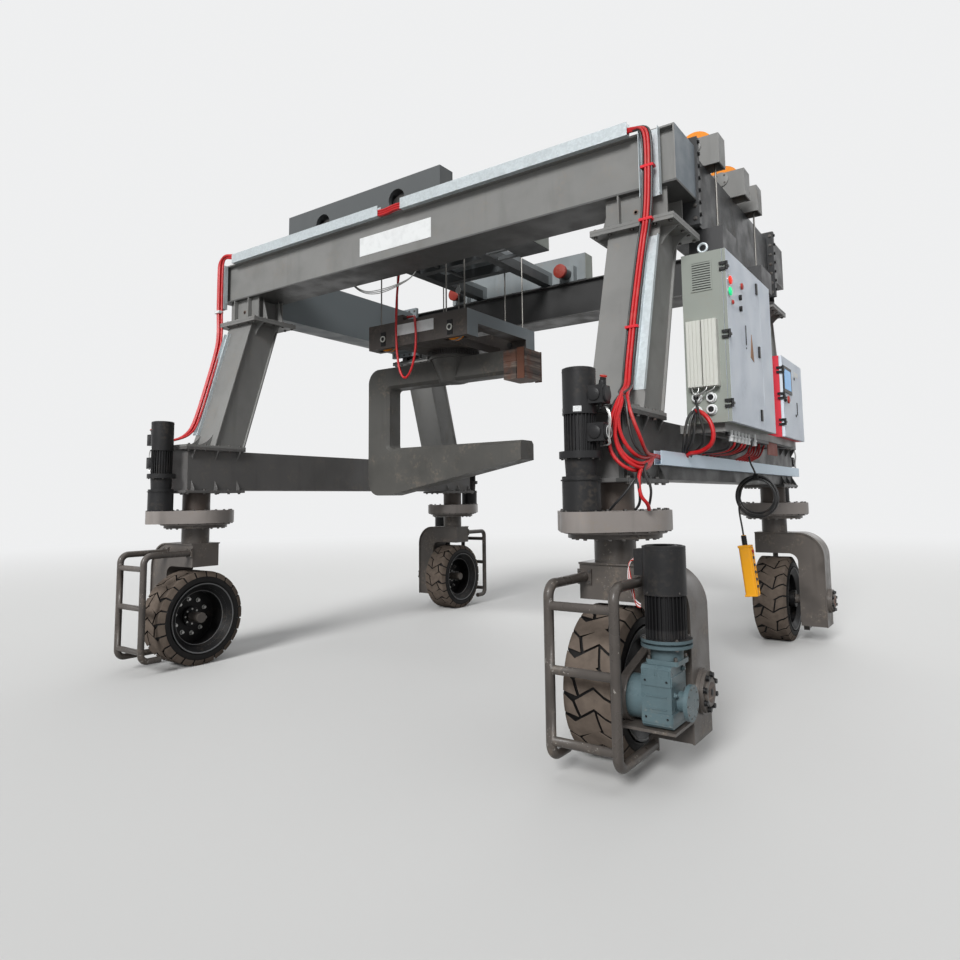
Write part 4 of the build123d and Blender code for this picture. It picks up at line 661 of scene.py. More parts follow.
dressing = (
    # start of the node names, finish, edge radius
    ("sills", "sill", 0.004),
    ("legs", "structure", 0.003),
    ("girders", "girder", 0.003),
    ("end_beams", "end_beam", 0.003),
    ("slew_housings", "housing", 0.003),
    ("steering_gearmotors", "motor", 0.002),
    ("cable_trays", "galvanised", 0.0),
    ("cabinet_brackets", "structure", 0.003),
    ("cabinet_shell", "cabinet", 0.003),
    ("cabinet_door", "door", 0.003),
    ("small_cabinet_shell", "small_shell", 0.003),
    ("small_cabinet_door", "small_door", 0.003),
    ("brake_resistors", "resistor", 0.002),
    ("rope_boxes", "rope_box", 0.003),
    ("top_sheaves", "sheave", 0.002),
    ("anchor_ropes", "rope", 0.0),
    ("fork", "fork", 0.003),
    ("guard", "guard", 0.0),
    ("drive_gearbox", "gearbox", 0.003),
    ("drive_motor", "drive_motor", 0.001),
    ("tyre", "rubber", 0.0),
    ("hoist_ropes", "rope", 0.0),
    ("rim", "rim", 0.002),
    ("trolley_frame", "trolley", 0.003),
    ("trolley_wheels", "bolt", 0.002),
    ("hoists", "trolley", 0.003),
    ("head_block_sheaves", "block_sheave", 0.002),
    ("head_block", "head_block", 0.003),
    ("c_hook", "hook", 0.004),
    ("counterweight", "rusty", 0.003),
    ("pendant", "yellow", 0.0),
)


def dress_nodes():
    """Give each of the frame's nodes its finish and slightly rounded edges."""
    for name, node in nodes.items():
        finish, bevel = next((entry[1:] for entry in dressing if name.startswith(entry[0])), ("black", 0.0))
        node.data.materials.clear()
        node.data.materials.append(finishes[finish].material)
        node.modifiers.new("weld", "WELD").merge_threshold = 0.00005
        if bevel:
            round_edges(node, bevel)
        node.modifiers.new("face normals", "WEIGHTED_NORMAL").keep_sharp = True


# Cables that hang free

loop_route = (
    (-0.8, -0.57, 4.325), (-0.8, -0.65, 4.325), (-0.808, -0.708, 4.235), (-0.826, -0.718, 4.06),
    (-0.85, -0.722, 3.85), (-0.864, -0.72, 3.6), (-0.862, -0.722, 3.36), (-0.845, -0.72, 3.14),
    (-0.805, -0.722, 2.965), (-0.735, -0.72, 2.885), (-0.655, -0.722, 2.955), (-0.6, -0.72, 3.105),
    (-0.575, -0.722, 3.29), (-0.59, -0.716, 3.45), (-0.63, -0.68, 3.56), (-0.7, -0.605, 3.603),
    (-0.8, -0.605, 3.603),
)
loop_diameter = 0.026
pendant_lead_in = (
    (2.6, 0.06, 2.04), (2.6, 0.06, 1.965), (2.61, 0.067, 1.885), (2.632, 0.088, 1.825),
    (2.645, 0.1, 1.778),
)
pendant_lead_out = (
    (2.484, 0.1, 1.497), (2.489, 0.101, 1.43), (2.498, 0.1, 1.37), (2.5067, 0.1, 1.312),
    (2.513, 0.1, 1.252),
)
pendant_cable_diameter = 0.016
coil_centre = Vector((2.645, 0.1, 1.595))
coil_radius = 0.166
coil_turns = 4


def loop_cable():
    """The cable that hangs in a long loop from the trolley and comes back up to the head block."""
    curve = spline("head_block_loop", loop_route, loop_diameter / 2)
    mesh = bpy.data.meshes.new_from_object(curve)
    bpy.data.objects.remove(curve)
    mesh.materials.clear()
    mesh.materials.append(finishes["red_cable"].material)
    mesh.shade_smooth()
    tube = place("head_block_loop", mesh)
    path = spline_points(loop_route)
    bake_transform(tube)
    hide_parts("head_block_cable")


def coil_turn_points():
    """Return the turns of spare pendant cable: tied together at the top and fanned out below."""
    tied = ((0.0, -0.017), (0.017, 0.0), (0.0, 0.017), (-0.017, 0.0), (-0.017, -0.012))
    fanned = (0.004, 0.026, -0.012, 0.014, -0.03)
    steps = 12
    points = []
    for i in range(1, steps * coil_turns + 4):
        turn, share = divmod(i / steps, 1)
        here, after = tied[int(turn)], tied[min(int(turn) + 1, 4)]
        move = share * share * (3 - 2 * share)
        angle = math.radians(90) + 2 * math.pi * share
        out, along = (a + (b - a) * move for a, b in zip(here, after))
        out += (fanned[int(turn)] - out) * (1 - math.sin(angle)) / 2
        radius = coil_radius + out
        points.append(coil_centre + Vector((radius * math.cos(angle), along, radius * math.sin(angle))))
    return [tuple(point) for point in points]


def pendant_cable():
    """The pendant's cable: down from its gland, round the coil and on to the pendant."""
    route = (*pendant_lead_in, *coil_turn_points(), *pendant_lead_out)
    cord = spline("pendant_cable", route, pendant_cable_diameter / 2)
    cord.data.materials.append(finishes["black_cable"].material)
    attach(cord, "gantry")
    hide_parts("pendant_cable_upper", "pendant_coil", "pendant_cable_lower")


# Wheels

wheel_centre = Vector((track_half, wheelbase_half, tyre_radius))
lug_pitches = 23
lug_depth = 0.018
lug_rows = 4
groove_half = 0.0085
tyre_half = 0.178
tread_half = 0.15
shoulder_drop = 0.06
lug_end = 0.174
# Half of a groove's zigzag: place across the tread and shift round it
zigzag = (
    (-0.18, 0), (-0.15, 0), (-0.093, -0.042), (0.045, 0.045), (0.112, 0), (0.15, -0.015), (0.18, -0.015),
)
# Joining groove of a rib: place across at its upper and at its lower end
joints = ((-0.085, -0.052), (0.053, 0.075))
sidewall = (
    # distance from the tyre's middle, radius
    (0.16, 0.338), (0.172, 0.346), (0.1775, 0.356), (0.1785, 0.36), (0.1775, 0.364), (0.178, 0.38),
    (0.175, 0.392), (0.168, 0.398), (0.15, 0.439),
)


def zig(across):
    """Return how far a groove is shifted round the tyre at a place across it."""
    for (a, low), (b, high) in zip(zigzag, zigzag[1:]):
        if across <= b:
            return low + (high - low) * (across - a) / (b - a)
    return zigzag[-1][1]


def tread_radius(across):
    """Return the radius of the lugs' tops, which drops over the shoulders."""
    over = max(abs(across) - tread_half, 0) / (tyre_half - tread_half)
    return tyre_radius - shoulder_drop * over ** 1.15


def on_tyre(across, along, radius):
    """Return a point of the wheel from its unrolled place."""
    angle = along / tyre_radius
    return wheel_centre + Vector((across, radius * math.cos(angle), radius * math.sin(angle)))


def add_lug(kit, pitch, left, right):
    """Add one lug between two sides, each given as its place at the rib's lower and upper end."""
    size = 2 * math.pi * tyre_radius / lug_pitches
    inner = [a for a, _ in zigzag if max(left) < a < min(right)]
    rings = []
    for row in range(lug_rows):
        share = row / (lug_rows - 1)
        sides = [side[0] + (side[1] - side[0]) * share for side in (left, right)]
        along = pitch * size + groove_half + (size - 2 * groove_half) * share
        top = [(a, along + zig(a)) for a in (sides[0], *inner, sides[1])]
        ring = [on_tyre(a, v, tread_radius(a)) for a, v in top]
        ring += [on_tyre(a, v, tread_radius(a) - lug_depth - 0.004) for a, v in reversed(top)]
        rings.append(ring)
    start = len(kit.points)
    count = len(rings[0])
    kit.loft(rings, caps=False)
    for base, turned in ((start, False), (start + (lug_rows - 1) * count, True)):
        for i in range(count // 2 - 1):
            face = (base + i, base + i + 1, base + count - 2 - i, base + count - 1 - i)
            kit.faces.append(face if turned else face[::-1])
    half = [1.0] * (count // 2) + [0.0] * (count // 2)
    kit.marks["tread"] += half * lug_rows


def make_tyre(corner):
    """A solid tyre with zigzag ribs, each parted by a slanted groove."""
    kit = Kit(corner)
    profile = [(-a, r) for a, r in sidewall] + list(reversed(sidewall))
    kit.loft([circle(wheel_centre + Vector((a, 0, 0)), along_x, r, 96) for a, r in profile], closed=True)
    kit.marks["tread"] = [0.0] * len(kit.points)
    for pitch in range(lug_pitches):
        upper, lower = joints[pitch % 2]
        add_lug(kit, pitch, (-lug_end, -lug_end), (lower - groove_half, upper - groove_half))
        add_lug(kit, pitch, (lower + groove_half, upper + groove_half), (lug_end, lug_end))
    name = corner[0]
    tyre = kit.piece("tread", "wheel", "tyre", 0.0022)
    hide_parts(f"tyre_{name}")


def make_rim_fittings(corner):
    """Worn rim flanges, the rim's inner lip, wheel nuts and the bolts of the hub's end plate."""
    inner = wheel_centre - Vector((tyre_half, 0, 0))
    rings = Kit(corner)
    flange = ((-0.003, 0.34), (-0.003, 0.332), (0.004, 0.322), (0.03, 0.3), (0.038, 0.297), (0.038, 0.29),
              (0.044, 0.29), (0.044, 0.34))
    rings.lathe(inner, along_x, flange, 72, caps=False)
    rings.lathe(wheel_centre + Vector((tyre_half, 0, 0)), (-1, 0, 0), flange, 72, caps=False)
    lip = ((0, 0.268), (0, 0.258), (0.008, 0.258))
    rings.lathe(inner + Vector((0.068, 0, 0)), along_x, lip, 72, caps=False)
    rings.piece("rim_flanges", "wheel", "rim_ring")
    nuts = Kit(corner)
    disc_x = track_half + 0.06
    for spot in circle((disc_x, wheelbase_half, tyre_radius), along_x, 0.17, 10, 0.2):
        nuts.bolt(spot, (-1, 0, 0), 0.03, 0.024)
    nuts.bolts(circle((disc_x - 0.04, wheelbase_half, tyre_radius), along_x, 0.072, 8), (-1, 0, 0), 0.014)
    nuts.piece("wheel_nuts", "wheel", "bright", slot="rope_steel")


# Corner units: drawn at the corner x > 0, y > 0 and mirrored

fork_face = 2.279
arm_outer = 2.84
axle_ring_x = arm_outer + 0.042
drive_pinion = Vector((2.896, 2.46, 0.47))
drive_motor = (2.76, 2.465)
# How far the drive motor's inner and outer bolts lie from its middle, each way
stud_reach, edge_reach = 0.076, 0.091
drive_neck_top = 0.701
drive_flange_top = 0.812
cowl_top = 1.321
cowl_radius = 0.1232
housing_top = 1.516
steer_pinion = (2.285, 2.535)
terminal_box_heights = (2.214, 1.987)
steer_cowl_top = 2.384
guard_places = (2.165, 2.575)


def make_fork_fittings(corner):
    """Bolts of the guard's flanges, of the axle's ring and of the slewing flanges."""
    bolts = Kit(corner)
    for x in guard_places:
        middle = Vector((x, fork_face + 0.014, 1.1))
        spots = [middle + Vector((0.035 * a, 0, 0.035 * b)) for a in ways for b in ways]
        bolts.bolts(spots, along_y, 0.015)
    bolts.bolts(circle((track_half, wheelbase_half, 1.3435), up, 0.268, 20), down, 0.022)
    bolts.piece("fork_bolts", "fork", "bolt")
    axle = Kit(corner)
    for spot in circle((axle_ring_x, wheelbase_half, tyre_radius), along_x, 0.098, 8, 0.3):
        axle.lathe(spot, along_x, ((0, 0.019), (0.006, 0.019), (0.006, 0.015), (0.02, 0.015)), 8)
    centre = Vector((arm_outer + 0.056, wheelbase_half, tyre_radius))
    axle.lathe(centre, along_x, ((0, 0.02), (0.004, 0.02), (0.0065, 0.015)), 12)
    axle.piece("axle_nuts", "fork", "black", 0.001)
    cap = Kit(corner).lathe(centre - Vector((0.001, 0, 0)), along_x, ((0, 0.06), (0.003, 0.056)), 40)
    cap.piece("axle_centre", "fork", "rusty")


def make_drive_fittings(corner):
    """Screws, studs, seams and lips of a drive unit."""
    x, y = drive_motor
    steel = Kit(corner)
    for spot in circle(drive_pinion, along_x, 0.08, 10):
        steel.lathe(spot, along_x, ((0, 0.005), (0.003, 0.005)), 10)
    for sign_x in ways:
        for sign_y in ways:
            stud = (x + sign_x * stud_reach, y + sign_y * stud_reach)
            steel.disc((*stud, drive_neck_top), (*stud, drive_neck_top + 0.02), 0.01, 10)
            steel.bolt((*stud, drive_neck_top), up, 0.02)
            edge = (x + sign_x * edge_reach, y + sign_y * edge_reach)
            steel.bolt((*edge, drive_flange_top), up, 0.018)
            steel.bolt((*edge, drive_flange_top - 0.046), down, 0.018)
    for turn in range(4):
        angle = math.radians(30 + 90 * turn)
        spot = (x + 0.122 * math.cos(angle), y + 0.122 * math.sin(angle), 1.066)
        steel.bolt(spot, (math.cos(angle), math.sin(angle), 0), 0.009)
    steel.piece("drive_bolts", "fork", "bolt")
    cast, holes = Kit(corner), Kit(corner)
    left, right, far = 2.653, 2.824, 2.59
    middle = (left + right) / 2
    for low, high in ((left + 0.01, middle - 0.006), (middle + 0.006, right - 0.01)):
        cast.box((low, far - 0.002, 0.612), (high, far + 0.004, 0.654))
    for low, high in ((0.373, 0.427), (0.568, 0.622)):
        cast.box((right - 0.002, 2.4, low), (right + 0.005, far, high))
    plug = ((0, 0.016), (0.008, 0.016), (0.008, 0.01), (0.018, 0.01))
    for spot in ((right, 2.41, 0.64), (right, 2.545, 0.52)):
        cast.lathe(spot, along_x, plug, 8)
    cast.piece("gearbox_panels", "fork", "gearbox", 0.002)
    for z in (0.4, 0.595):
        for hole in (left + 0.024, right - 0.024):
            holes.disc((hole, far - 0.004, z), (hole, far + 0.0008, z), 0.0068, 14)
    holes.piece("gearbox_holes", "fork", "black")
    seams = Kit(corner)
    for level in (1.055, 1.3):
        seams.lathe((x, y, level), up, ((0, cowl_radius), (0.004, cowl_radius)), 48)
    rim = ((0, 0.118), (0.006, 0.104), (0.006, 0.096), (0.001, 0.092))
    seams.lathe((x, y, cowl_top - 0.001), up, rim, 40)
    for k in range(5):
        seams.lathe((x, y, cowl_top), up, ((0, 0.085 - 0.016 * k), (0.003, 0.081 - 0.016 * k)), 36)
    seams.piece("cowl_rims", "fork", "motor")
    # The gear cover's lip runs round the axle's and the pinion's ends and straight between them
    reach = drive_pinion.y - wheelbase_half
    rise = drive_pinion.z - tyre_radius
    lean = math.atan2(rise, reach)
    spread = math.acos((0.25 - 0.14) / math.hypot(reach, rise))
    path = []
    for centre_y, centre_z, radius, start, swing, steps in (
        (wheelbase_half, tyre_radius, 0.244, lean + spread, 2 * math.pi - 2 * spread, 27),
        (drive_pinion.y, drive_pinion.z, 0.134, lean - spread, 2 * spread, 13),
    ):
        for i in range(steps + 1):
            angle = start + swing * i / steps
            path.append((2.553, centre_y + radius * math.cos(angle), centre_z + radius * math.sin(angle)))
    Kit(corner).tube([*path, path[0]], 0.006, 8, caps=False).piece("cover_lip", "fork", "guard")


def make_steering_fittings(corner):
    """Bolts and seams of the slewing housing and of the steering gearmotor."""
    x, y = steer_pinion
    bolts = Kit(corner)
    bolts.bolts(circle((track_half, wheelbase_half, 1.392), up, 0.3475, 24), down, 0.018)
    for spot in circle((track_half, wheelbase_half, housing_top), up, 0.335, 20):
        if abs(spot.x - track_half) > 0.19 or spot.y > wheelbase_half + 0.25:
            bolts.bolt(spot, up, 0.022)
    bolts.bolts(circle((x, y, housing_top), up, 0.122, 8, 0.39), up, 0.014)
    bolts.bolts(circle((x, y, 1.834), up, 0.112, 8, 0.39), down, 0.014)
    levels = ((2.17, up, 0.024), (2.12, down, 0.026), (1.716, up, 0.026), (1.69, down, 0.026))
    for offset_x in (-0.2015, 0.2015):
        for plate_y in (1.775, 1.9, 2.025, 2.18, 2.362):
            for level, axis, size in levels:
                bolts.bolt((track_half + offset_x, plate_y, level), axis, size)
    bolts.piece("housing_bolts", "gantry", "bolt")
    trim = Kit(corner)
    seam_y = wheelbase_half + 0.365
    trim.box((track_half - 0.006, seam_y - 0.01, 1.396), (track_half + 0.006, seam_y + 0.002, 1.512))
    for level in (housing_top, 1.7):
        trim.lathe((x, y, level), up, ((0, 0.124), (0.008, 0.124)), 40)
    trim.piece("housing_seam", "gantry", "black")
    cowl = Kit(corner)
    for drop, profile in (
        (0.282, ((0, 0.106), (0.01, 0.106))),
        (0.02, ((0, 0.1045), (0.004, 0.1045))),
        (0.001, ((0, 0.101), (0.006, 0.09))),
    ):
        cowl.lathe((x, y, steer_cowl_top - drop), up, profile, 44)
    cowl.piece("steer_cowl", "gantry", "motor")


def make_gearmotor_leads(corner):
    """Caps, plugs and a blank label on the terminal boxes and the cowl of a steering gearmotor."""
    x, y = steer_pinion
    tilted = (0.3, 0.2, 1)
    caps, pale = Kit(corner), Kit(corner)
    for level in terminal_box_heights:
        caps.lathe((2.462, y, level), along_x, ((0, 0.051), (0.01, 0.051), (0.016, 0.044)))
        caps.lathe((2.41, y + 0.053, level), along_y, ((0, 0.04), (0.01, 0.04), (0.014, 0.034)))
        gland = ((0, 0.016), (0.018, 0.016), (0.02, 0.011), (0.034, 0.011))
        caps.lathe((2.425, y, level - 0.054), down, gland, 12)
    caps.lathe((2.44, y, 2.268), tilted, ((0, 0.024), (0.03, 0.022), (0.034, 0.019), (0.05, 0.019)), 16)
    caps.piece("terminal_caps", "gantry", "motor")
    plug = ((0, 0.023), (0.008, 0.023), (0.01, 0.015))
    red = Kit(corner).lathe((2.4555, y + 0.01, 2.319), tilted, plug, 16)
    red.piece("terminal_plug", "gantry", "red_paint")
    ring = ((0, 0.04), (0.002, 0.04), (0.002, 0.033), (0, 0.033))
    pale.lathe((2.4775, y, terminal_box_heights[1]), along_x, ring)
    for k in range(7):
        angle = math.radians(58 + 4 * k)
        label_x = x + 0.1032 * math.cos(angle)
        label_y = y + 0.1032 * math.sin(angle)
        pale.box((label_x - 0.004, label_y - 0.002, 2.112), (label_x + 0.004, label_y + 0.002, 2.146))
    pale.piece("gearmotor_label", "gantry", "white")
    wires = Kit(corner)
    for k in range(3):
        s = 0.006 * k
        route = ((2.444, y, 2.15), (2.472 + s, y + 0.01, 2.13), (2.49 + s, y + 0.012, 2.06),
                 (2.47 + s, y + 0.014, 1.96), (2.486 + s, y + 0.01, 1.9), (2.43 + s, y + 0.006, 1.91))
        wires.cable(route, 0.0026, 5, 6)
    wires.piece("gearmotor_wires", "gantry", "bright")


def make_drive_wires(corner):
    """Bare white and red wires that hang from a drive motor's terminal box."""
    white, red = Kit(corner), Kit(corner)
    x, y = 2.6, 2.47
    for k in range(4):
        route = ((x + 0.01, y + 0.004 * k, 1.262 - 0.008 * k), (x - 0.035 - 0.005 * k, y + 0.02, 1.24),
                 (x - 0.052 + 0.006 * k, y + 0.024, 1.15), (x - 0.04 + 0.008 * k, y + 0.022, 1.06),
                 (x - 0.01, y + 0.016, 1.0 - 0.012 * k), (x + 0.018, y + 0.008, 0.985 - 0.006 * k))
        (red if k % 2 else white).cable(route, 0.004, 5, 6)
    white.piece("drive_wires_white", "fork", "white")
    red.piece("drive_wires_red", "fork", "red_paint")


# Steelwork

girder_face = 1.612
leg_slope = 0.3024
trolley_x = -0.63
block_half = 0.47
block_pin_height = 3.385


def make_steel_bolts(corner):
    """Bolts of a leg's head, of the stool on it and of the end beam's flanges."""
    bolts = Kit(corner)
    spots = [(x, y) for x in (-0.29, -0.175, 0.0, 0.175, 0.29) for y in (1.192, 1.692)]
    spots += [(x, y) for x in (-0.29, 0.29) for y in (1.32, 1.442, 1.565)]
    for x, y in spots:
        bolts.bolt((track_half + x, y, 3.535), down, 0.024)
        bolts.bolt((track_half + x, y, 3.583), up, 0.024)
    for x in (2.2325, 2.6275):
        bolts.bolts([(x, 1.177, 3.69 + 0.1 * level) for level in range(7)], (0, -1, 0), 0.024)
        bolts.bolts([(x, 1.227, 3.69), (x, 1.227, 3.79)], along_y, 0.024)
    for x in (2.33, 2.43, 2.53):
        bolts.bolt((x, 1.177, 4.297), (0, -1, 0), 0.024)
        bolts.bolt((x, 1.177, 3.6725), (0, -1, 0), 0.02)
        bolts.bolt((x, 1.227, 3.6725), along_y, 0.02)
    bolts.piece("steel_bolts", "gantry", "bolt")
    edge = [(2.66, 1.202, 3.72 + 0.096 * level) for level in range(7)]
    Kit(corner).bolts(edge, along_x, 0.026).piece("flange_edge_bolts", "gantry", "black")
    ring = ((0, 0.02), (0.002, 0.02), (0.002, 0.012), (0, 0.012))
    Kit(corner).lathe((track_half, 1.6075, 3.69), along_y, ring, 20).piece("stool_hole", "gantry", "rusty")


def make_plates():
    """Blank white plates on the girder and on the head block."""
    plate = Kit().box((-0.525, -girder_face - 0.003, 3.945), (0.365, -girder_face + 0.002, 4.128))
    plate.piece("girder_plate", "gantry", "white", slot="door_paint")
    small = Kit().box((-0.9, -0.67, 3.395), (-0.38, -0.665, 3.515))
    small.piece("head_block_plate", "head_block", "white", slot="door_paint")


def make_block_pins():
    """Keeper plates and pale rings on the ends of the head block's pins."""
    keepers, rings = Kit(), Kit()
    for x in (trolley_x - block_half, trolley_x + block_half):
        for way in ways:
            near, far = sorted((way * 0.6665, way * 0.674))
            keepers.box((x - 0.034, near, 3.306), (x + 0.034, far, 3.464))
            end, axis = (x, way * 0.679, block_pin_height), (0, way, 0)
            rings.lathe(end, axis, ((-0.004, 0.035), (0.006, 0.035), (0.007, 0.025), (0.001, 0.022)), 28)
            keepers.lathe(end, axis, ((0, 0.0225), (0.0025, 0.0225)), 20)
    keepers.piece("pin_keepers", "head_block", "black", 0.002)
    rings.piece("pin_rings", "head_block", "resistor")


def make_slab_angles():
    """The rusty strips that hold the counterweight's slabs together."""
    strips = Kit()
    for way in ways:
        near, far = sorted((way * 0.1765, way * 0.183))
        strips.box((0.352, near, 2.85), (0.438, far, 3.182))
    strips.piece("slab_angles", "c_hook", "strap", 0.001)


# Cabinets

cabinet_front = 2.882
cabinet_side = -1.396
vent_low, vent_high = 3.084, 3.284


def button(cap, collar, y, z, radius, reach):
    """Add a round button or lamp with its collar."""
    ring = ((0, radius * 1.25), (0.006, radius * 1.25), (0.008, radius))
    collar.lathe((cabinet_front - 0.001, y, z), along_x, ring)
    head = ((0, radius * 0.92), (reach, radius * 0.92), (reach + 0.006, radius * 0.6))
    cap.lathe((cabinet_front, y, z), along_x, head)


def make_cabinet_door():
    """The main door's lamps, buttons, latches, lever, plain flag and hinges, and a blank label over it."""
    x = cabinet_front
    collars, red, green, small, mushroom, switches = (Kit() for _ in range(6))
    button(red, collars, -1.325, 3.137, 0.034, 0.014)
    button(green, collars, -1.338, 3.052, 0.034, 0.014)
    button(small, collars, -1.287, 2.984, 0.018, 0.012)
    collars.lathe((x - 0.001, -1.031, 3.161), along_x, ((0, 0.026), (0.008, 0.026)))
    head = ((0, 0.014), (0.006, 0.014), (0.008, 0.025), (0.016, 0.025), (0.02, 0.016))
    mushroom.lathe((x, -1.031, 3.161), along_x, head)
    for z in (3.065, 2.98):
        switches.lathe((x - 0.001, -1.077, z), along_x, ((0, 0.02), (0.01, 0.018)))
        switches.box((x, -1.084, z - 0.02), (x + 0.019, -1.07, z + 0.02))
    for y, z in ((-0.579, 3.248), (-0.58, 2.734), (-0.594, 2.226)):
        switches.box((x - 0.001, y - 0.017, z - 0.045), (x + 0.012, y + 0.017, z + 0.045))
    switches.box((x - 0.001, -0.952, 2.7), (x + 0.004, -0.942, 2.712))
    lever = Kit().box((x - 0.001, -0.952, 2.73), (x + 0.006, -0.944, 2.88))
    flag = Kit()
    outline = ((-0.83, 2.655), (-0.74, 2.63), (-0.786, 2.84))
    flag.loft([[(x + rise, y, z) for y, z in outline] for rise in (0, 0.003)])
    for kit, name, finish, bevel in (
        (collars, "cabinet_collars", "bright", 0), (red, "red_lamp", "red_lamp", 0),
        (green, "green_lamp", "green_lamp", 0), (small, "dark_button", "red_paint", 0),
        (mushroom, "stop_button", "red_paint", 0), (switches, "cabinet_switches", "black", 0.001),
        (lever, "cabinet_lever", "door", 0), (flag, "cabinet_flag", "kraft", 0),
    ):
        kit.piece(name, "cabinet_door", finish, bevel)
    label = Kit().box((2.8545, -0.45, 3.24), (2.8565, -0.165, 3.318))
    label.piece("cabinet_label", "gantry", "white", slot="door_paint")
    leaves = Kit()
    for level in (3.228, 2.7365, 2.245):
        leaves.box((2.8815, cabinet_side, level - 0.024), (2.8865, cabinet_side + 0.024, level + 0.024))
    leaves.piece("hinge_leaves", "cabinet_door", "black", 0.001)


def make_cabinet_side():
    """The main cabinet's vent, eye bolt, resistor fins and wires, and glands."""
    near = cabinet_side
    back = Kit().box((2.632, near - 0.0015, 3.076), (2.778, near + 0.0005, 3.292))
    back.piece("vent_back", "gantry", "black")
    vent = Kit()
    for low_x, low_z, high_x, high_z in (
        (2.628, vent_low - 0.012, 2.782, vent_low), (2.628, vent_high, 2.782, vent_high + 0.012),
        (2.628, vent_low, 2.638, vent_high), (2.772, vent_low, 2.782, vent_high),
    ):
        vent.box((low_x, near - 0.006, low_z), (high_x, near + 0.001, high_z))
    for k in range(11):
        z = 3.092 + 0.0178 * k
        vent.box((2.638, near - 0.0065, z), (2.772, near - 0.0035, z + 0.0108))
    vent.piece("cabinet_vent", "gantry", "cabinet")
    ring = circle((2.717, -1.372, 3.398), along_y, 0.032, 24)
    eye = Kit().lathe((2.717, -1.372, 3.358), up, ((0, 0.022), (0.006, 0.022)), 16)
    eye.tube([*ring, ring[0]], 0.009).piece("cabinet_eye", "gantry", "galvanised")
    fins = Kit()
    for middle in (2.648, 2.76):
        for k in range(4):
            edge = middle - 0.052 + 0.104 * (k + 0.5) / 4
            fins.box((edge - 0.0095, -1.463, 2.369), (edge + 0.0095, -1.454, 2.847))
    fins.piece("resistor_fins", "gantry", "resistor", 0.001)
    glands, throats = Kit(), Kit()
    profile = ((0, 0.038), (0.01, 0.038), (0.012, 0.033), (0.034, 0.031), (0.036, 0.022), (0.02, 0.02))
    for x, z in ((2.642, 2.298), (2.745, 2.293), (2.638, 2.203), (2.745, 2.208)):
        glands.lathe((x, near, z), (0, -1, 0), profile, 20)
        throats.lathe((x, near, z), (0, -1, 0), ((0.018, 0.0205), (0.03, 0.0205)), 20)
    glands.piece("cabinet_glands", "gantry", "white")
    throats.piece("gland_throats", "gantry", "black")
    wires = Kit()
    for x in (2.618, 2.668, 2.726, 2.782):
        wires.cable(((x, -1.44, 2.372), (x + 0.002, -1.446, 2.35), ((x + 2.642) / 2 + 0.004, -1.452, 2.325),
                     (2.646, -1.446, 2.302), (2.642, -1.415, 2.298)), 0.0042)
        wires.box((x - 0.006, -1.446, 2.366), (x + 0.006, -1.434, 2.384))
    wires.piece("resistor_wires", "gantry", "bright")


def make_small_cabinet():
    """Screen, stop button, switch, latch and a blank label."""
    x = cabinet_front
    dark = Kit().box((x - 0.001, 0.224, 2.515), (x + 0.01, 0.545, 2.755))
    dark.lathe((x - 0.001, 0.264, 2.452), along_x, ((0, 0.026), (0.012, 0.026), (0.014, 0.018)))
    dark.box((x + 0.01, 0.258, 2.432), (x + 0.019, 0.27, 2.472))
    for y, z in ((0.707, 2.34), (0.7, 2.69)):
        dark.box((x - 0.001, y - 0.012, z - 0.012), (x + 0.006, y + 0.012, z + 0.012))
    screen = Kit().box((x + 0.009, 0.256, 2.545), (x + 0.0112, 0.512, 2.725))
    head = ((0, 0.017), (0.006, 0.017), (0.008, 0.034), (0.016, 0.034), (0.02, 0.022))
    stop = Kit().lathe((x, 0.376, 2.457), along_x, head, 28)
    collar = Kit().lathe((x - 0.001, 0.376, 2.457), along_x, ((0, 0.032), (0.008, 0.032)))
    label = Kit().box((x - 0.001, 0.69, 2.715), (x + 0.0015, 0.88, 2.76))
    lever = Kit().box((x - 0.001, 0.76, 2.35), (x + 0.006, 0.77, 2.47))
    for kit, name, finish, bevel, slot in (
        (dark, "frame", "black", 0.001, None), (screen, "screen", "screen", 0, None),
        (stop, "stop", "red_paint", 0, None), (collar, "collar", "bright", 0, None),
        (label, "label", "white", 0, "door_paint"), (lever, "lever", "small_door", 0, None),
    ):
        kit.piece(f"small_cabinet_{name}", "small_cabinet_door", finish, bevel, slot)


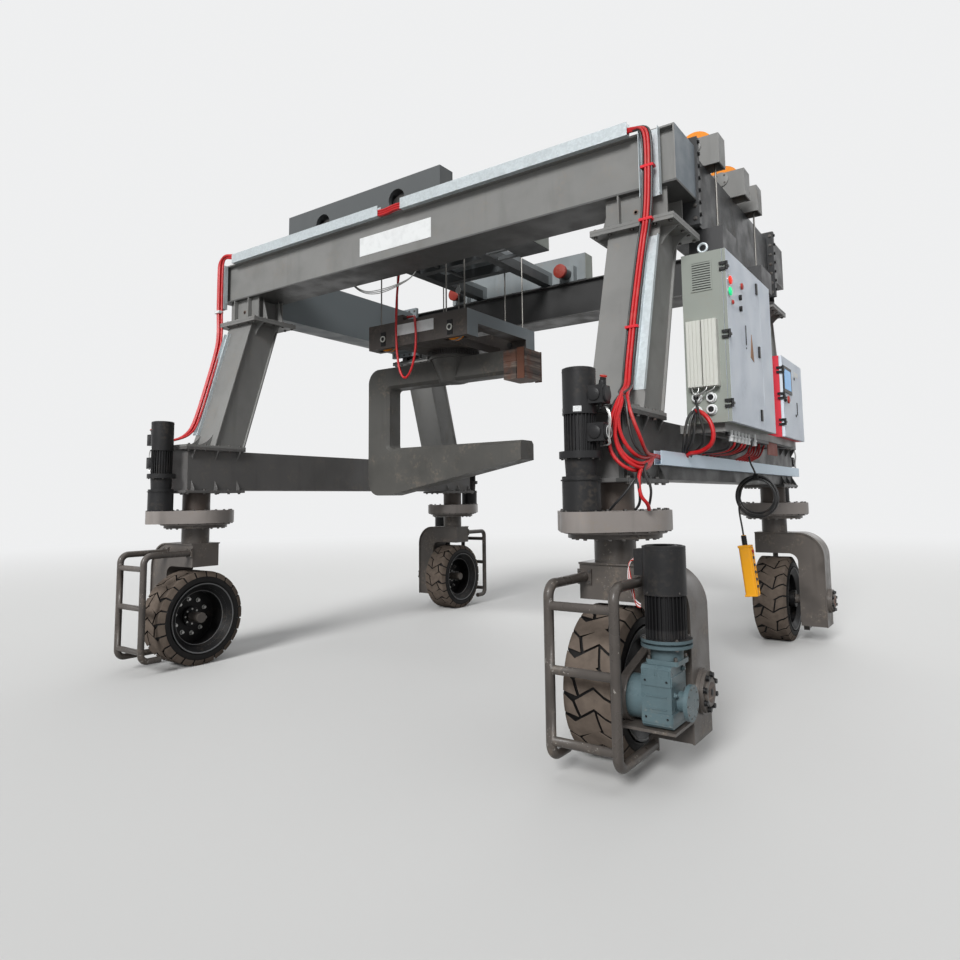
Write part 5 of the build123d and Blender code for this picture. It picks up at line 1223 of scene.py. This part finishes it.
def make_gland_rail():
    """The row of glands under the main cabinet, with the red and black cables that drop into the tray."""
    glands, red, dark = Kit(), Kit(), Kit()
    rows = [-1.209 + 0.0916 * k for k in range(6)]
    nut = ((-0.03, 0.017), (0, 0.017), (0.002, 0.022), (0.014, 0.022), (0.016, 0.016))
    for y, length in (*((y, 0.048) for y in rows), (-0.57, 0.062)):
        glands.lathe((2.812, y, 2.02), up, (*nut, (length, 0.016)), 14)
    glands.piece("rail_glands", "gantry", "white")
    Kit().box((2.7905, -1.27, 2.028), (2.8145, -0.11, 2.055)).piece("gland_rail", "gantry", "black", 0.001)
    bracket = Kit().box((2.792, -0.077, 1.945), (2.797, 0.27, 2.1))
    bracket.box((2.742, -0.077, 2.095), (2.797, 0.27, 2.1))
    bracket.piece("rusty_bracket", "gantry", "rust_red", 0.001)
    for k, y in enumerate(rows):
        route = ((2.812, y, 1.992), (2.81, y, 1.965), (2.77 - 0.01 * k, y + 0.02, 1.93),
                 (2.64, y + 0.05, 1.918), (2.56, y + 0.08, 1.925), (2.525, y + 0.12, 1.9),
                 (2.524, y + 0.2, 1.862 - 0.003 * k))
        (red if k in (1, 3, 4) else dark).cable(route, 0.01)
    for k in range(6):
        y = -0.05 + 0.085 * k
        red.cable(((2.64 + 0.02 * (k % 2), y, 2.06), (2.638, y, 2.0), (2.62, y - 0.03, 1.95),
                   (2.575, y - 0.07, 1.925), (2.53, y - 0.1, 1.9), (2.524, y - 0.2, 1.85 + 0.003 * k)), 0.009)
    red.piece("red_drops", "gantry", "red_cable")
    dark.piece("black_drops", "gantry", "black_cable")


def make_side_cables():
    """Cables from the glands of the cabinet's side down into the tray along the sill."""
    start = (2.638, -1.425, 2.203)
    dark = Kit()
    for route in (
        ((2.628, -1.45, 2.205), (2.59, -1.47, 2.16), (2.566, -1.47, 2.06), (2.552, -1.462, 1.96),
         (2.53, -1.44, 1.895), (2.524, -1.38, 1.858)),
        ((2.638, -1.452, 2.2), (2.612, -1.475, 2.13), (2.6, -1.478, 2.03), (2.572, -1.466, 1.95),
         (2.536, -1.43, 1.896), (2.52, -1.36, 1.85)),
        ((2.646, -1.452, 2.196), (2.64, -1.478, 2.11), (2.632, -1.48, 2.02), (2.59, -1.46, 1.94),
         (2.536, -1.4, 1.9), (2.528, -1.31, 1.866)),
    ):
        dark.cable((start, *route), 0.01)
    route = ((2.642, -1.42, 2.298), (2.646, -1.45, 2.29), (2.662, -1.48, 2.23), (2.69, -1.49, 2.13),
             (2.712, -1.485, 2.02), (2.68, -1.455, 1.945), (2.56, -1.35, 1.905), (2.52, -1.25, 1.868))
    dark.cable(route, 0.009)
    dark.piece("side_cables_black", "gantry", "black_cable")
    route = (start, (2.655, -1.45, 2.202), (2.71, -1.48, 2.175), (2.76, -1.49, 2.11), (2.778, -1.49, 2.02),
             (2.755, -1.48, 1.95), (2.66, -1.45, 1.905), (2.57, -1.42, 1.905), (2.528, -1.37, 1.88),
             (2.524, -1.28, 1.85))
    Kit().cable(route, 0.016, 5, 12).piece("side_cables_red", "gantry", "red_cable")


# Cables along the trays

cable_radius = 0.0115
black_radius = 0.009
bundle_lanes = (
    # shift across the leg, height over it, colour
    (0.006, 0.0, "red"), (0.028, 0.004, "red"), (0.05, 0.002, "red"), (0.014, 0.021, "red"),
    (0.038, 0.023, "red"), (-0.014, 0.004, "black"), (0.06, 0.022, "black"),
)
bundle_loops = (
    # how each lane hangs from the leg and comes back up to the housing
    ((2.525, -2.44, 2.228), (2.466, -2.452, 2.045), (2.496, -2.448, 1.876),
     (2.6, -2.42, 1.79), (2.6, -2.25, 1.81)),
    ((2.518, -2.44, 2.175), (2.5, -2.462, 2.06), (2.522, -2.45, 1.94),
     (2.588, -2.41, 1.84), (2.585, -2.23, 1.838)),
    ((2.56, -2.44, 2.165), (2.59, -2.44, 2.06), (2.622, -2.42, 1.96),
     (2.622, -2.35, 1.88), (2.59, -2.2, 1.858)),
    ((2.54, -2.452, 2.19), (2.476, -2.476, 2.0), (2.512, -2.47, 1.846),
     (2.612, -2.43, 1.764), (2.612, -2.27, 1.788)),
    ((2.5, -2.452, 2.19), (2.44, -2.47, 2.01), (2.452, -2.47, 1.85),
     (2.56, -2.44, 1.75), (2.622, -2.29, 1.768)),
    ((2.548, -2.44, 2.2), (2.56, -2.446, 2.06), (2.58, -2.436, 1.93),
     (2.61, -2.38, 1.862), (2.578, -2.21, 1.872)),
    ((2.48, -2.44, 2.2), (2.42, -2.462, 2.03), (2.43, -2.466, 1.88),
     (2.53, -2.44, 1.77), (2.602, -2.26, 1.742)),
)
housing_leads = (
    ((2.6, -2.3, 1.782), (2.6, -2.42, 1.73), (2.53, -2.45, 1.62), (2.45, -2.45, 1.548), (2.42, -2.43, 1.524)),
    ((2.61, -2.3, 1.8), (2.628, -2.42, 1.76), (2.69, -2.43, 1.66),
     (2.655, -2.38, 1.56), (2.62, -2.33, 1.524)),
    ((2.59, -2.3, 1.79), (2.596, -2.44, 1.74), (2.622, -2.45, 1.64),
     (2.602, -2.4, 1.548), (2.56, -2.38, 1.524)),
)


def leg_front(level):
    """Return how far out a leg's face lies at a height."""
    return 1.48 + leg_slope * (3.535 - level) + 0.1885


def make_bundle_b():
    """The bundle from the girder's tray down the leg to the corner's drives and the sill's tray."""
    red, dark = Kit(), Kit()
    for lane, (across, out, colour) in enumerate(bundle_lanes):
        x = 2.368 + across
        step = 0.011 * (lane % 3)
        face = [-(leg_front(level) + 0.013 + out) for level in (3.4, 2.88, 2.45, 2.32)]
        route = [
            (2.235 + 0.01 * lane, -1.682, 4.305 - step), (2.32, -1.682, 4.3 - step),
            (x + 0.05, -1.7 - out, 4.262), (x + 0.068, -1.706 - out, 4.13), (x + 0.066, -1.712 - out, 3.955),
            (x + 0.06, -1.722 - out, 3.7), (x + 0.044, -1.73 - out, 3.53), (x + 0.012, face[0], 3.4),
            (x, face[1], 2.88), (x, face[2], 2.45), (x + 0.02, face[3] - 0.03, 2.32),
            (x + 0.06, face[3] - 0.2, 2.262), *bundle_loops[lane], (2.545, -2.02, 1.868),
            (2.525, -1.88, 1.866 - 0.004 * (lane % 4)), (2.524, -1.7, 1.85),
        ]
        kit, radius = (red, cable_radius) if colour == "red" else (dark, black_radius)
        kit.cable(route, radius)
    red.piece("bundle_red", "gantry", "red_cable")
    dark.piece("bundle_black", "gantry", "black_cable")
    clips = Kit()
    for level, x, y in ((3.955, 2.458, -1.735), (3.56, 2.44, -1.752)):
        clips.box((x - 0.05, y - 0.012, level - 0.011), (x + 0.05, y + 0.04, level + 0.011))
    clips.box((2.345, -1.96, 2.74), (2.44, -1.925, 2.76))
    clips.piece("bundle_clips", "gantry", "red_panel", 0.004)
    route = ((2.6, -2.33, 1.775), (2.618, -2.42, 1.765), (2.612, -2.44, 1.69), (2.622, -2.44, 1.6),
             (2.655, -2.4, 1.555), (2.64, -2.36, 1.524))
    Kit().cable(route, cable_radius, 5).piece("housing_lead_red", "gantry", "red_cable")
    ends = Kit()
    for route in housing_leads:
        ends.cable(route, 0.008, 5)
    ends.piece("housing_leads_black", "gantry", "black_cable")


def make_bundle_a():
    """The bundle down the drop tray and the leg of the far corner, and the one in the girder tray's gap."""
    red = Kit()
    for lane in range(5):
        x = -2.645 + 0.023 * (lane % 3)
        out = 0.022 * (lane // 3)
        route = [
            (-2.36, -1.682, 4.3 + 0.01 * lane), (-2.46, -1.682, 4.315 + 0.01 * lane),
            (-2.56, -1.69 - out, 4.345 + 0.006 * lane), (x - 0.004, -1.696 - out, 4.29),
            (x, -1.7 - out, 4.15), (x + 0.002, -1.702 - out, 3.9), (x + 0.006, -1.704 - out, 3.72),
            (x + 0.034, -1.712 - out, 3.5),
        ]
        for across, level, gap in (
            (0.076, 3.3, 0.012), (0.092, 2.9, 0.012), (0.094, 2.4, 0.012), (0.08, 2.3, 0.06),
        ):
            route.append((x + across, -(leg_front(level) + gap + out), level))
        route += [
            (x + 0.04, -2.2, 2.25), (x + 0.02, -2.42, 2.2), (x, -2.44, 2.0), (x + 0.04, -2.43, 1.8),
            (x + 0.12, -2.44, 1.64), (x + 0.24, -2.45, 1.53),
        ]
        red.cable(route, cable_radius)
    for lane in range(6):
        low = 4.262 + 0.021 * (lane % 3)
        out = 0.019 * (lane // 3)
        route = ((-0.3, -1.67 - out, low), (-0.215, -1.672 - out, low), (-0.12, -1.676 - out, low - 0.012),
                 (0, -1.676 - out, low + 0.006), (0.08, -1.672 - out, low), (0.18, -1.67 - out, low))
        red.cable(route, 0.0105)
    red.piece("bundle_far", "gantry", "red_cable")
    tie = Kit().box((-2.665, -1.752, 3.7), (-2.58, -1.69, 3.732))
    tie.piece("bundle_tie", "gantry", "white", 0.004)


# Trolley

rope_reach = 0.1215
rope_y = 0.572


def make_hoist_ropes():
    """Two falls at each sheave of the head block and the turn under it."""
    ropes = Kit()
    falls = [4.65 - 0.04 * k for k in range(32)]
    turns = [(math.cos(math.pi * k / 12), math.sin(math.pi * k / 12)) for k in range(13)]
    for x in (trolley_x - block_half, trolley_x + block_half):
        for y in (-rope_y, rope_y):
            path = [(x - rope_reach, y, level) for level in falls]
            path += [(x - rope_reach * a, y, block_pin_height - rope_reach * b) for a, b in turns]
            path += [(x + rope_reach, y, level) for level in reversed(falls)]
            ropes.tube(path, 0.008, 8)
    piece = place("hoist_rope_falls", ropes.mesh("hoist_rope_falls", "rope"))
    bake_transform(piece)
    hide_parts("hoist_ropes")


def make_trolley_fittings():
    """Red caps of the travel motors, junction boxes, rope anchors, bare wires and the carriage's pale end."""
    caps = Kit()
    cap = ((-0.003, 0.07), (0, 0.0862), (0.04, 0.0862), (0.044, 0.08))
    for x in (trolley_x - 0.82, trolley_x + 0.82):
        for way in ways:
            caps.lathe((x, way * 1.1175, 4.375), (0, -way, 0), cap, 28)
    caps.piece("travel_motor_caps", "trolley", "cap_red")
    boxes = Kit().box((0.235, -0.184, 4.3), (0.525, -0.179, 4.46))
    boxes.box((0.56, -0.17, 4.3), (0.566, 0.17, 4.46))
    boxes.box((trolley_x + 1.0405, 1.35, 4.312), (trolley_x + 1.046, 1.534, 4.638))
    boxes.piece("trolley_panels", "trolley", "cabinet", 0.002)
    anchors = Kit()
    x = trolley_x - block_half + rope_reach
    for y in (-rope_y, rope_y):
        anchor = ((0, 0.034), (0.004, 0.04), (0.016, 0.04), (0.02, 0.034))
        anchors.lathe((x, y - 0.02, 4.22), along_y, anchor, 20)
        anchors.box((x - 0.014, y - 0.008, 4.175), (x + 0.014, y + 0.008, 4.29))
    anchors.piece("rope_thimbles", "trolley", "white")
    wires = Kit()
    for k in range(3):
        s = 0.01 * k
        route = ((-1.12, -1.22, 4.294), (-1.12, -1.22, 4.0), (-1.02, -1.2, 3.83 + s),
                 (-0.86, -1.19, 3.735 + s), (-0.64, -1.2, 3.7 + 2 * s), (-0.4, -1.2, 3.735 + s),
                 (-0.2, -1.19, 3.8), (-0.12, -1.18, 3.96), (-0.11, -1.2, 4.294))
        wires.cable(route, 0.0045, 5, 6)
    wires.piece("bare_wires", "trolley", "bright")


# Pendant and end beam

pendant_top = Vector((2.513, 0.1, 1.252))
pendant_tilt = math.radians(6)
pendant_across = Vector((math.cos(pendant_tilt), 0, math.sin(pendant_tilt)))
pendant_down = Vector((math.sin(pendant_tilt), 0, -math.cos(pendant_tilt)))


def on_pendant(a, b, c):
    """Return a point of the tilted pendant: across it, to its side and down it."""
    return pendant_top + pendant_across * a + Vector(along_y) * b + pendant_down * c


def make_pendant_fittings():
    """The pendant's sleeve, its guarded edges and two rows of buttons on the side away from the hook."""
    profile = [(0, 0.012), (0.004, 0.0215)]
    for k in range(7):
        rib = ((0.01, 0.0215), (0.012, 0.0235), (0.018, 0.0235), (0.02, 0.0215))
        profile += [(0.011 * k + along, radius) for along, radius in rib]
    sleeve = Kit().lathe(pendant_top, pendant_down, profile, 20)
    sleeve.piece("pendant_sleeve", "gantry", "black", slot="black_cable")
    rims = Kit()
    for a, b, half_a, half_b, start, end in (
        (0, 0, 0.0555, 0.043, 0.0885, 0.11), (0, 0, 0.0555, 0.043, 0.513, 0.5315),
        (0.0515, 0.034, 0.007, 0.006, 0.11, 0.514), (0.0515, -0.034, 0.007, 0.006, 0.11, 0.514),
    ):
        outline = [(a + half_a * sx, b + half_b * sy) for sx, sy in round_corners]
        rims.loft([[on_pendant(*point, c) for point in outline] for c in (start, end)])
    rims.piece("pendant_rims", "gantry", "yellow", 0.004)
    keys = Kit()
    for k in range(5):
        for b in (-0.014, 0.014):
            key = ((0, 0.0115), (0.006, 0.0115), (0.008, 0.009))
            keys.lathe(on_pendant(0.052, b, 0.2 + 0.062 * k), pendant_across, key, 16)
    keys.piece("pendant_keys", "gantry", "black")
    head = ((0, 0.01), (0.008, 0.01), (0.009, 0.017), (0.014, 0.017), (0.017, 0.01))
    stop = Kit().lathe(on_pendant(0.052, 0, 0.145), pendant_across, head, 20)
    stop.piece("pendant_stop", "gantry", "red_paint")
    tie = Kit().lathe(coil_centre + Vector((-0.022, 0, coil_radius)), along_x, ((0, 0.03), (0.044, 0.03)), 20)
    tie.piece("coil_tie", "gantry", "black", 0.003, "black_cable")


def make_rope_box_caps():
    """Round caps with screws over the axles of the end beam's sheaves."""
    caps, screws = Kit(), Kit()
    x, z = 2.515, 4.447
    for y in (-0.77, -0.015, 0.41):
        for way in ways:
            face, axis = y + way * 0.0845, (0, way, 0)
            caps.lathe((x, face, z), axis, ((0, 0.066), (0.012, 0.066), (0.014, 0.058)), 32)
            screws.bolts(circle((x, face + way * 0.013, z), axis, 0.048, 4, 0.785), axis, 0.014)
    caps.piece("sheave_caps", "gantry", "structure")
    screws.piece("sheave_screws", "gantry", "bolt")


make_camera()
make_floor()
make_light()
dress_nodes()
for corner in corners:
    make_tyre(corner)
    make_rim_fittings(corner)
    make_fork_fittings(corner)
    make_steering_fittings(corner)
    if corner[0] in driven:
        make_drive_fittings(corner)
for corner in corners:
    make_steel_bolts(corner)
    make_gearmotor_leads(corner)
    if corner[0] in driven:
        make_drive_wires(corner)
make_plates()
make_block_pins()
make_slab_angles()
make_cabinet_door()
make_cabinet_side()
make_small_cabinet()
make_gland_rail()
make_side_cables()
make_bundle_b()
make_bundle_a()
make_hoist_ropes()
make_trolley_fittings()
make_pendant_fittings()
make_rope_box_caps()
loop_cable()
pendant_cable()
